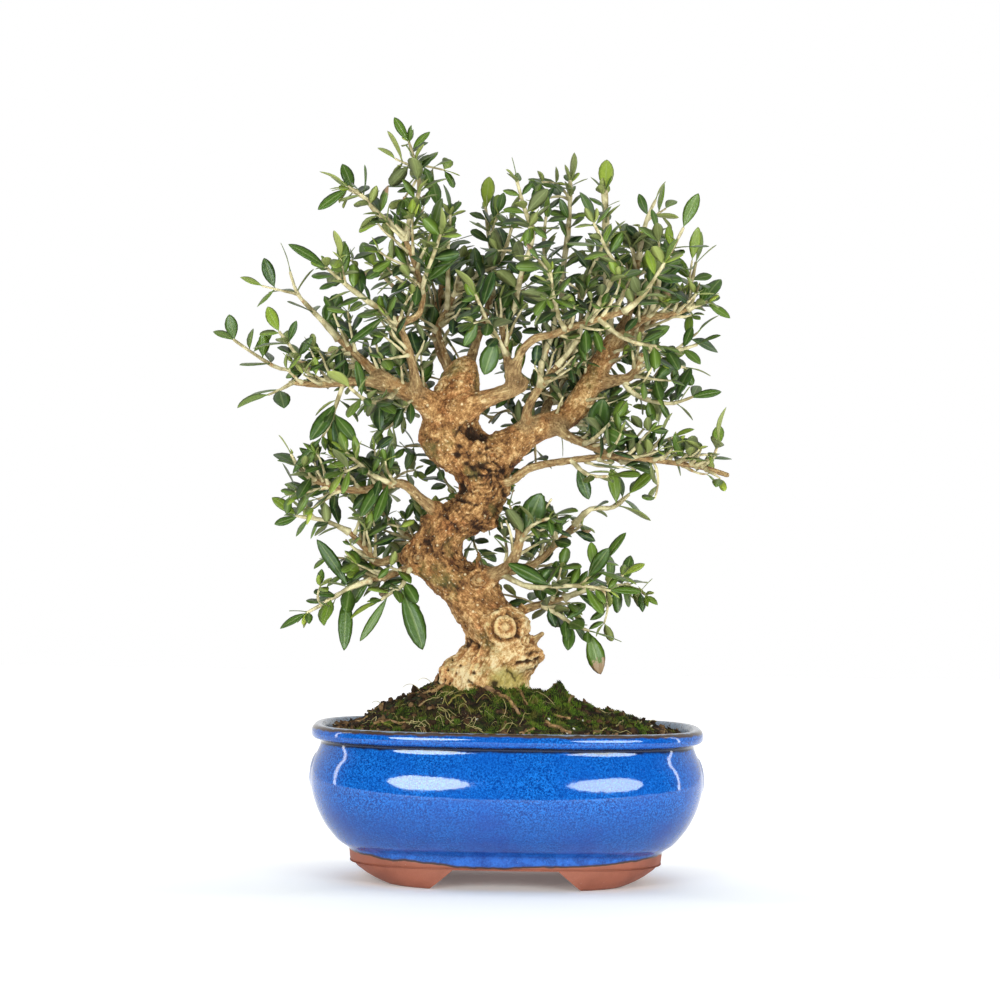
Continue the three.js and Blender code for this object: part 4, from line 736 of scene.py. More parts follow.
LIMBS = {  # radius at root and end, and the path
    "A": ((8.5, 4.6), [(-33, -1, 238), (-41, -4, 247), (-50, -8, 253), (-58, -10, 256), (-70, -14, 261)]),
    "A1": ((4.2, 2.2), [(-66, -12, 259), (-80, -19, 259.5), (-100, -27, 257), (-115, -32, 258)]),
    "A2": ((4.2, 2.4), [(-66, -13, 259), (-78, -11, 270), (-86, -8, 277), (-93, -5, 283)]),
    "B1": ((5, 2.4), [(-28, 5, 262), (-36, 17, 272), (-41, 28, 286), (-41, 37, 302), (-37, 43, 318)]),
    "B2": ((4.5, 2.4), [(-25, 5, 264), (-21, 17, 278), (-16, 27, 294), (-12, 34, 310)]),
    "B3": ((5, 2.6), [(-36, 6, 242), (-47, 22, 249), (-58, 36, 255), (-70, 47, 262)]),
    "F": ((3, 2.2), [(-30, 8, 262), (-37, 14, 278), (-40, 15, 290), (-35, 14, 300), (-29, 12, 312)]),
    "C": ((7, 4.2), [(-30, -5, 243), (-20, -8, 249), (-10, -9, 253), (3, -10, 258), (5, -10, 262)]),
    "C1": ((3.4, 2.4), [(0, -10, 257), (-3, -12, 270), (-5, -14, 282), (-7, -15, 293)]),
    "D": ((9.2, 6.4), [(-12, 0, 219), (3, 2, 231), (15, 4, 237.5), (25, 6, 241), (33, 8, 248),
        (40, 9, 259), (47, 11, 273), (53, 12, 284)]),
    "D1": ((4, 2.8), [(7, 2, 235), (8, -2, 247), (14, -4, 258), (22, -5, 268), (31, -6, 279)]),
    "D2": ((4.2, 2.6), [(20, 5, 240), (28, 0, 234), (38, -4, 229), (48, -7, 225), (58, -9, 220)]),
    "D3": ((3.6, 2), [(-10, -5, 207), (0, -11, 209), (10, -14, 216), (30, -19, 220), (54, -23, 222.5),
        (80, -26, 220), (98, -28, 217.5), (112, -30, 213.5)]),
    "D4": ((4.6, 2.6), [(18, 6, 240), (18, 22, 248), (22, 36, 256), (27, 50, 264)]),
    "D5": ((4.4, 2.4), [(50, 12, 276), (58, 24, 284), (69, 35, 292), (80, 44, 300)]),
    "D6": ((4.4, 2.4), [(52, 12, 282), (60, 19, 297), (64, 26, 313), (66, 32, 330)]),
    "E": ((4.4, 2.7), [(-51, -8, 253), (-51, -16, 262), (-53, -22, 271), (-56, -27, 281),
        (-61, -32, 291)]),
    "E1": ((2.8, 2.2), [(-60, -31, 290), (-50, -33, 293), (-47, -36, 303), (-50, -38, 315),
        (-54, -40, 326), (-58, -40, 335)]),
    "H": ((3.6, 2.6), [(0, -11, 264), (4, -16, 276), (11, -20, 283), (20, -24, 285), (30, -27, 289),
        (40, -30, 292), (58, -35, 297.5)]),
    "J": ((4.4, 2.2), [(51, 11, 281), (62, 6, 291), (70, 2, 296), (80, -1, 297), (92, -3, 301)]),
    "K": ((5, 3), [(42, 9, 262), (54, 8, 263), (63, 6, 266), (68, 5, 277)]),
    "G": ((4.4, 2.4), [(-20, 8, 186), (-20, 22, 193), (-17, 37, 200), (-11, 50, 208)]),
    "G1": ((4.2, 2.2), [(-36, 10, 170), (-47, 22, 175), (-57, 33, 181)]),
    "G2": ((4.2, 2.2), [(-4, 4, 226), (5, 19, 233), (16, 32, 238), (28, 42, 241)]),
    "L1": ((4.6, 2.2), [(-36, -6, 190), (-47, -13, 199), (-56, -16, 206.5), (-66, -18, 205.5),
        (-78, -19, 203), (-90, -20, 204), (-105, -22, 208.5)]),
    "L2": ((4.4, 2.2), [(-45, 4, 166), (-58, 8, 168), (-70, 8, 165), (-76, 8, 172), (-86, 8, 182)]),
    "L3": ((3.8, 2.2), [(-42, -3, 165), (-53, -5, 163), (-64, -8, 158), (-74, -11, 156)]),
    "R1": ((5.4, 3.8), [(-16, -6, 158), (-5, -12, 162), (1, -16, 167), (4, -18, 176), (5, -18, 184)]),
    "R2": ((4.4, 2.2), [(-14, 2, 156), (-3, 7, 161), (12, 9, 165), (24, 10, 176), (35, 10, 188)]),
    "R4": ((4.2, 2.4), [(-2, 4, 137), (7, 9, 141), (16, 12, 144), (30, 16, 148)]),
    "STUB": ((4.5, 1.6), [(8, -4, 121), (13, -6, 126), (18, -7, 130)]),
}
SPURS = [  # foot, tip, radius at each
    ((-17, -10, 160), (-16.4, -13, 172), 2.6, 0.9), ((-47, -3, 166), (-51.5, -7, 169), 3.4, 2.4),
]

# %% A tube of rings, rolled from a grid


def grid_place(value, steps):
    """Which line of a grid of size 1 a coordinate lies on."""
    return round((value + 1) / 2 * steps)


def tube(shape, rings):
    """A closed tube through rings of points: a grid, rolled up and merged along its seam and ends."""
    steps, sides = len(rings) - 1, len(rings[0])
    made = bmesh.ops.create_grid(shape, x_segments=steps, y_segments=sides, size=1)["verts"]
    for vert in made:
        vert.co = rings[grid_place(vert.co.x, steps)][grid_place(vert.co.y, sides) % sides]
    bmesh.ops.remove_doubles(shape, verts=made, dist=0.001)


def path_frames(points):
    """Two unit vectors across a path at each of its points and its heading, carried along without twist."""
    headings = [(b - a).normalized() for a, b in zip(points[:1] + points, points[1:] + points[-1:])]
    across = Vector((0.3, 1, 0.1)).cross(headings[0]).normalized()
    frames = []
    for i, heading in enumerate(headings):
        if i:
            across = headings[i - 1].rotation_difference(heading) @ across
        frames.append((across.copy(), heading.cross(across).normalized(), heading))
    return frames


def rod_rings(points, radius_at, sides):
    """Rings round a path, closed at both ends by rings that shrink to a point."""
    frames = path_frames(points)
    turns = [TURN * side / sides for side in range(sides)]
    rings = [
        [point + radius_at(i, turn) * (math.cos(turn) * across + math.sin(turn) * lift) for turn in turns]
        for i, (point, (across, lift, _)) in enumerate(zip(points, frames))
    ]
    head = points[-1] + frames[-1][2] * 0.45 * radius_at(len(points) - 1, 0)
    tail = points[0] - frames[0][2] * 0.45 * radius_at(0, 0)
    near_head = [point.lerp(points[-1], 0.4) + (head - points[-1]) * 0.75 for point in rings[-1]]
    near_tail = [point.lerp(points[0], 0.4) + (tail - points[0]) * 0.75 for point in rings[0]]
    return [[tail] * sides, near_tail] + rings + [near_head, [head] * sides]


def pieces_of(points):
    """The length of each piece of a path."""
    return [(b - a).length for a, b in zip(points, points[1:])]


def runs_along(points):
    """How far along its path each point lies."""
    runs = [0.0]
    for length in pieces_of(points):
        runs.append(runs[-1] + length)
    return runs


# %% The wood as overlapping tubes
TRUNK_SIDES = 56
LIMB_SIDES = 16
wood_shape = bmesh.new()
axis_rows = {"trunk": [], "limbs": []}  # place, across, lift, heading, length so far and radius


def note_axis(points, radii, kind):
    for place, frame_here, run, radius in zip(points, path_frames(points), runs_along(points), radii):
        axis_rows[kind].append((place, *frame_here, run, radius))


slices = soft_path(TRUNK_SLICES, 4)
trunk_rings = []
for x, y, z, half_width, half_depth in slices:
    ring = []
    for side in range(TRUNK_SIDES):
        angle = TURN * side / TRUNK_SIDES
        flutes = 1 + 0.045 * math.sin(5 * angle + 0.09 * z) + 0.05 * math.cos(3 * angle - 0.13 * z)
        outward = Vector((math.cos(angle), math.sin(angle), 0))
        point = Vector((x + flutes * half_width * outward.x, y + flutes * half_depth * outward.y, z))
        swelling = sum(
            height * math.exp(-(point - Vector(middle)).length_squared / (2 * size * size))
            for *middle, height, size in BURLS
        )
        ring.append(point + outward * swelling)
    trunk_rings.append(ring)
places = [Vector(row[:3]) for row in slices]
foot, top = places[0], places[-1] + Vector((0, 0, 3))
tube(wood_shape, [[foot] * TRUNK_SIDES] + trunk_rings + [[top] * TRUNK_SIDES])
note_axis(places, [0.5 * (row[3] + row[4]) for row in slices], "trunk")

for (root_radius, end_radius), path in LIMBS.values():
    points = soft_path(path, 5)
    runs = runs_along(points)
    radii = []
    for run in runs:
        collar = 0.5 * bell(run / (1.6 * root_radius)) - (0.32 if root_radius < 5.5 else 0.14)
        thickness = root_radius + (end_radius - root_radius) * (run / runs[-1])
        radii.append(max(1.5, thickness * (1 + collar)))

    def radius_at(i, turn):
        return radii[i] * (1 + 0.04 * math.sin(3 * turn + 0.42 * i) + 0.04 * math.cos(2 * turn - 0.26 * i))

    tube(wood_shape, rod_rings(points, radius_at, LIMB_SIDES))
    note_axis(points, radii, "limbs")
for start, end, foot_radius, tip_radius in SPURS:
    spur = [Vector(start).lerp(Vector(end), step / 4) for step in range(5)]
    tube(wood_shape, rod_rings(
        spur, lambda i, _: foot_radius + (tip_radius - foot_radius) * (i / 4) ** 0.7, LIMB_SIDES,
    ))
bmesh.ops.recalc_face_normals(wood_shape, faces=wood_shape.faces)
print("wood drawn as", 1 + len(LIMBS) + len(SPURS), "tubes")

# %% Melt the tubes into one skin
SKIN_STEP = 0.95
SKIN_EASE = 6

wood = as_object(wood_shape, "body_to_melt")
modify(wood, "REMESH", mode="VOXEL", voxel_size=SKIN_STEP, use_smooth_shade=True)
modify(wood, "SMOOTH", factor=0.5, iterations=SKIN_EASE)
wood_mesh = applied(wood)
print("skin of the wood:", len(wood_mesh.vertices), "points")

# %% [markdown]
# ### Bark, knots, pits and folds
# The bark runs along the wood, so its creases are read in coordinates that follow the trunk's bends, and
# each limb's length. Ringed knots mark old cuts, the left lobe of the burl is full of small pits, and the
# bark is gathered in folds below the crotch and on the inside of each bend. Between them it is calm.
# All of these are real moves of the skin, deep enough to change the outline. The numbers are kept as
# attributes, so that the colours can follow the relief: hollows get a painted shade and ridges a painted
# highlight.

# %% Marks on the front and back of the trunk
KNOTS = [  # x, z, radius, and -1 for the front or 1 for the back
    (-2, 133, 9.5, -1), (-12.5, 138, 2.8, -1), (-16, 157, 5.8, -1), (-48, 168, 4.2, -1),
    (-20, 147, 2.2, -1), (-37, 222, 3.0, -1), (-9.5, 221, 5.0, -1), (13, 238, 2.6, -1),
    (-17.5, 204, 4.4, -1), (-25, 184, 3.4, -1), (10, 126, 4.6, -1), (-33, 247, 3.6, -1),
    (-22, 150, 6.0, 1), (-30, 196, 5.0, 1), (-8, 118, 6.5, 1), (-30, 240, 4.0, 1), (-18, 172, 3.6, 1),
]
PITS = [  # x, z, radius, depth
    (-36, 113.6, 0.8, 1.4), (-31.5, 109.8, 0.7, 1.4), (-29.5, 115.2, 0.6, 1.1), (-37.5, 107.6, 0.7, 1.2),
    (-27, 108.4, 0.6, 1.1), (-33.4, 117.6, 0.6, 1.0), (-25, 112.2, 0.8, 1.0), (-33.6, 104.4, 0.8, 1.3),
    (-39, 110.4, 0.6, 1.0), (-30.4, 120.6, 0.7, 1.0), (-22, 123.4, 2.0, 2.0), (-17.6, 109, 1.0, 1.0),
    (-27, 204.5, 2.6, 2.6), (-36, 205, 1.4, 1.2), (-28.4, 221.6, 1.5, 1.6), (-27.6, 226.6, 1.1, 1.3),
    (-20.5, 233.5, 3.4, 4.2), (-15, 232.4, 2.6, 3.4), (-13, 226, 1.2, 1.3), (-24, 217.5, 1.0, 1.2),
    (-7, 103.5, 2.0, 1.6), (-6.4, 141.4, 0.9, 1.0), (5, 128, 1.2, 1.3),
]
CRACKS = [  # from x, z to x, z, and depth
    ((5, 114.4), (16, 116.6), 1.4), ((8, 119), (15, 120.4), 0.8), ((10, 111), (17, 112.4), 0.7),
    ((-21, 104.6), (-12, 100), 1.5), ((-21, 216), (-9, 219), 1.2), ((-9, 219), (-5, 215), 1.0),
    ((-24, 210.6), (-6, 211.8), 1.0), ((-18, 224), (-8, 221), 1.0), ((-28, 199), (-18, 196), 1.1),
    ((-6, 207), (-2, 199), 0.8), ((-30, 232), (-24, 240), 0.8), ((-12, 130), (-9, 124), 1.0),
    ((-44, 176), (-34, 164), 0.8), ((-20, 186), (-12, 178), 0.8), ((-17, 218), (-11, 214.4), 1.5),
    ((-11, 214.4), (-3, 213.6), 1.4), ((-22, 216), (-17, 212), 1.0), ((-1, 111), (4, 105), 0.9),
    ((-24, 128), (-16, 122.6), 1.2), ((-34, 190), (-27, 183), 0.9),
]
FOLDS = [  # middle x, z, distance from it, width of the band, angle towards which it lies, depth
    (-14.5, 205, 17, 4.6, -100, 0.75), (-17, 212, 9, 4.5, -60, 0.7), (-20, 182, 15, 5, -150, 0.45),
    (-2, 133, 13.5, 3.0, 10, 0.8), (-30, 229, 9, 3.5, -50, 0.5), (8, 108, 8, 4, 60, 0.5),
]


def tree_of(rows):
    """A search tree over the first item of each row."""
    found = KDTree(len(rows))
    for index, row in enumerate(rows):
        found.insert(row[0], index)
    found.balance()
    return found


trunk_rows, limb_rows = axis_rows["trunk"], axis_rows["limbs"]
trunk_tree, limb_tree = tree_of(trunk_rows), tree_of(limb_rows)

# The trunk's middle at every height, rounded off so that coordinates measured from it have no kink.
heart_heights = np.arange(60.0, 310.0)
heart_xs = np.interp(heart_heights, [row[2] for row in TRUNK_SLICES], [row[0] for row in TRUNK_SLICES])
heart_xs = np.convolve(np.pad(heart_xs, 5, "edge"), np.ones(11) / 11, "valid")


def from_segment(point, start, end):
    a, b = Vector(start), Vector(end)
    share = clamp((point - a).dot(b - a) / (b - a).length_squared)
    return (point - a.lerp(b, share)).length


def ringed_knot(share):
    """Relief and paleness of an old cut: a rolled edge, a groove, an inner ring and a hollow heart. The
    grooves are darkened as painted shade.
    """
    relief = 1.2 * bell((share - 0.98) / 0.16) - 1.2 * bell((share - 0.74) / 0.10)
    relief += 1.0 * bell((share - 0.54) / 0.12) - 0.8 * bell((share - 0.34) / 0.07) + 0.4 * bell(share / 0.2)
    pale = 0.5 * bell((share - 0.56) / 0.14) + 0.9 * bell(share / 0.3) - 0.62 * bell((share - 0.75) / 0.07)
    return relief, pale - 0.4 * bell((share - 0.35) / 0.06)


def rough(point, size):
    """Folded noise: rounded backs between sharp creases."""
    return 0.45 - abs(noise.noise(point / size)) * 2.2


# %% How each mark moves the bark
def add_knots(point, normal, move, mark):
    for knot_x, knot_z, knot_radius, facing_side in KNOTS:
        share = math.hypot(point.x - knot_x, 1.08 * (point.z - knot_z)) / knot_radius
        if share < 1.6 and normal.y * facing_side > 0.05:
            share *= 1 + 0.2 * noise.noise(point / 5.0) + 0.1 * noise.noise(point / 1.6)
            rise, pale = ringed_knot(share)
            quiet = clamp((1.3 - share) / 0.3)
            move = move * (1 - 0.6 * quiet) + rise * knot_radius / 7.0
            mark = mark * (1 - quiet) + pale * min(1.0, 0.4 + knot_radius / 9)
    return move, mark


def add_front_marks(point, move, mark):
    # Pits, cracks and the troughs of folds also darken the mark: painted shade in the hollows.
    for pit_x, pit_z, pit_radius, pit_depth in PITS:
        share = math.hypot(point.x - pit_x, point.z - pit_z) / pit_radius
        if share < 3:
            share *= 1 + 0.5 * noise.noise(point / 1.8)
            move -= pit_depth * bell(share)
            mark -= 1.1 * bell(share)
    flat = Vector((point.x, point.z))
    for start, end, crack_depth in CRACKS:
        away = from_segment(flat + Vector((noise.noise(point / 3.0), noise.noise(point / 2.0))), start, end)
        if away < 2.4:
            move -= crack_depth * bell(away / 0.8)
            mark -= 0.75 * bell(away / 0.75)
    for fold_x, fold_z, reach, width, towards, fold_depth in FOLDS:
        out = math.hypot(point.x - fold_x, point.z - fold_z) + 1.8 * noise.noise(point / 5.0)
        turned = math.atan2(point.z - fold_z, point.x - fold_x) - math.radians(towards)
        hold = bell((out - reach) / width) * max(0.0, math.cos(turned)) ** 0.7
        if hold > 0.03:
            wave = math.sin(2.3 * out)
            move += fold_depth * hold * wave
            mark += 0.45 * hold * min(0.0, wave)
    return move, mark


def calmness(point, normal):
    """Where the bark lies calm, from 0 to 1: on the bends, but not on the burl or at the fork."""
    calm = 0.5 + 0.9 * noise.noise(point / 15.0 + Vector((4, 0, 0)))
    fork = 0.5 * bell((point.z - 216) / 16) * (normal.y < 0.3)
    calm -= fork + 0.3 * bell((point.x + 31) / 10) * bell((point.z - 112) / 9)
    calm += 0.5 * bell((point.z - 146) / 9) + 0.35 * bell((point.z - 176) / 9)
    return clamp(calm)


# %% Carve the skin
ALONG_GRAIN = 0.30  # lengthwise the grain is drawn out
count = len(wood_mesh.vertices)
grain = np.zeros((count, 3), np.float32)
relief_kept, girth_kept, cut_and_shade_kept = np.zeros((3, count), np.float32)
normals = [vert.normal.copy() for vert in wood_mesh.vertices]
for index, vert in enumerate(wood_mesh.vertices):
    point, normal = vert.co.copy(), normals[index]
    trunk_row = trunk_rows[trunk_tree.find(point)[1]]
    limb_row = limb_rows[limb_tree.find(point)[1]]
    over_trunk = (point - trunk_row[0]).length - 1.12 * trunk_row[5]
    is_trunk = over_trunk < (point - limb_row[0]).length - limb_row[5]
    place, across, lift, heading, run, radius = trunk_row if is_trunk else limb_row
    if is_trunk:
        heart = float(np.interp(point.z, heart_heights, heart_xs))
        follow = Vector((point.x - heart, point.y, ALONG_GRAIN * point.z))
    else:
        offset = point - place
        lengthwise = ALONG_GRAIN * (run + offset.dot(heading)) + 40
        follow = Vector((offset.dot(across), offset.dot(lift), lengthwise))
    depth = clamp(radius / 13.0, 0.16)
    warped = point + 3.0 * noise.noise_vector(point / 8.0)
    slow = noise.noise(point / 10.0) + 0.7 * noise.noise(warped / 5.2)
    pebbles = 0.5 - noise.noise(warped / 2.5, noise_basis="VORONOI_F1")
    creases = rough(follow + 1.6 * noise.noise_vector(point / 4.0), 2.6) if is_trunk else 0.0
    move = depth * (
        1.35 * slow + 0.36 * rough(warped, 4.4) + (0.44 - 0.36 * calmness(point, normal)) * pebbles
        + 0.66 * creases + 0.32 * noise.noise(point / 1.4)
    )
    mark = 0.0
    if is_trunk or radius > 6:
        # The mark starts dark at the bottoms of the creases: painted shade.
        move, mark = add_knots(point, normal, move, 0.30 * min(0.0, creases) * depth)
        if normal.y < 0.1:
            move, mark = add_front_marks(point, move, mark)
    vert.co = point + normal * move
    grain[index] = follow * 0.001
    relief_kept[index] = move / (1.6 * depth)
    girth_kept[index] = min(1.0, radius / 12.0)
    cut_and_shade_kept[index] = mark
print("bark carved; relief from", relief_kept.min(), "to", relief_kept.max())

# %% Even out the girth and keep the numbers
# The girth is evened out over the skin, so that no seam shows where a limb leaves the trunk.
edge_ends = np.zeros(2 * len(wood_mesh.edges), np.int32)
wood_mesh.edges.foreach_get("vertices", edge_ends)
edge_ends = edge_ends.reshape(-1, 2)
neighbours = np.bincount(edge_ends.ravel(), minlength=count)
for _ in range(14):
    total = np.bincount(edge_ends[:, 0], girth_kept[edge_ends[:, 1]], count)
    total += np.bincount(edge_ends[:, 1], girth_kept[edge_ends[:, 0]], count)
    girth_kept = (total / np.maximum(neighbours, 1)).astype(np.float32)
wood_mesh.attributes.new("grain", "FLOAT_VECTOR", "POINT").data.foreach_set("vector", grain.ravel())
for name, values in (("relief", relief_kept), ("girth", girth_kept), ("mark", cut_and_shade_kept)):
    wood_mesh.attributes.new(name, "FLOAT", "POINT").data.foreach_set("value", values)
wood_mesh.transform(TO_FRAME)
print("attributes of the bark: grain, relief, girth, mark")

# %% [markdown]
# Old olive bark is tan with rusty patches, cream flecks and a breath of green algae. Cut wood is pale.
# Hollows get a painted shade of dark brown and ridges a painted highlight, and the trunk is painted lighter
# at its foot and darker round its middle. The thinner a limb is, the greyer and smoother it gets.

# %% Bark recipe
bark = Recipe("olive_bark")
wood_x, _, wood_z = bark.axes()
relief_value, girth, cut_and_shade_value = map(bark.attribute, ("relief", "girth", "mark"))
speckle = bark.noise(820, 5, 0.72, 0.3)
lumps = bark.cells(430)
streaks = bark.noise(900, 4, 0.65, place=bark.attribute("grain", "Vector"))
# A band round the trunk's middle, from 130 to 235 mm high, that a painted shade darkens.
painted_middle_shade = bark.times(bark.spread(wood_z, 0.130, 0.165), bark.spread(wood_z, 0.200, 0.235, 1.0, 0.0))
trunk_light = bark.weigh(
    (speckle, 0.95), (bark.noise(210, 4, 0.6), 0.65), (streaks, 0.60), (lumps, -0.20),
    # Painted shade and highlight: the hollows of the relief are painted darker and its ridges lighter.
    bark.spread(relief_value, -1.2, 1.2, -0.29, 0.25, smooth=False),
    # Painted light at the trunk's foot, and painted shade round its middle where the crown shades it.
    bark.spread(wood_z, 0.095, 0.150, 0.17, 0.0), (painted_middle_shade, -0.10),
)
trunk_tone = bark.layers(
    bark.ramp(bark.spread(trunk_light, 0.60, 1.28, smooth=False), [
        (0.0, "2A180C"), (0.18, "603D24"), (0.40, "92643A"), (0.60, "B98652"), (0.78, "DEB076"),
        (1.0, "FADFAE"),
    ]),
    (bark.patches(0.48, 0.68, 0.34, 85, 4, 0.6, 0.4), "A2602F", "OVERLAY"),
    (bark.patches(0.54, 0.70, 0.45, 60, 4, 0.6), "6F7440"),
)
limb_light = bark.weigh((streaks, 1.1), (bark.noise(140, 3, 0.6), 0.6))
limb_tone = bark.layers(
    bark.ramp(bark.spread(limb_light, 0.50, 1.18, smooth=False), [
        (0.0, "412E1C"), (0.25, "785A3A"), (0.5, "A28057"), (0.75, "C9AB78"), (1.0, "ECD8AC"),
    ]),
    (bark.patches(0.56, 0.68, 0.5, 150, 3), "9C6A3C"),
)
from_base = bark.weigh(
    bark.square(bark.times(bark.minus(wood_x, POT_MIDDLE.x - 0.001), 90.0)),
    bark.square(bark.times(bark.minus(wood_z, 0.104), 110.0)),
)
bark_tone = bark.layers(
    bark.mix(bark.spread(girth, 0.28, 0.55), limb_tone, trunk_tone),
    (bark.spread(bark.cells(165), 0.07, 0.14, 0.8, 0.0), "F3DFB4"),
    (bark.times(bark.spread(bark.cells(360), 0.08, 0.2, 0.55, 0.0), girth), "FBE8C0"),
    (bark.spread(from_base, 0.2, 1.2, 0.75, 0.0), bark.mix(speckle, "8C7A2C", "E3D27C")),
    (bark.spread(cut_and_shade_value, 0.1, 0.9, 0.0, 0.6), "EBCF98"),
    # Painted shade: dark brown in the pits, cracks, folds, crease bottoms and knot grooves.
    (bark.spread(cut_and_shade_value, -0.9, -0.12, 0.92, 0.0), "2E1C10"),
)
bark.relief(bark.weigh(speckle, (lumps, -0.7)), 0.0015, 0.95)
bark_material = bark.finish(bark_tone, bark.spread(speckle, 0.3, 0.7, 0.62, 0.9), 0.25)
finish_mesh("trunk_and_limbs", wood_mesh, [bark_material], ["trunk"])

# %% [markdown]
# ## Twigs and leaves
# The plain branches hold 350 leaves. They were grown by a rule: leaves stand in pairs along a twig, each
# pair turned a quarter from the one before, and a leaf is kept only where it clears what is there already.
# The same rule and the same seeds are used here, so that each plain leaf gets its finer twin. Then the
# rule runs on with new seeds and smaller leaves until the crown is as full as a trimmed olive.

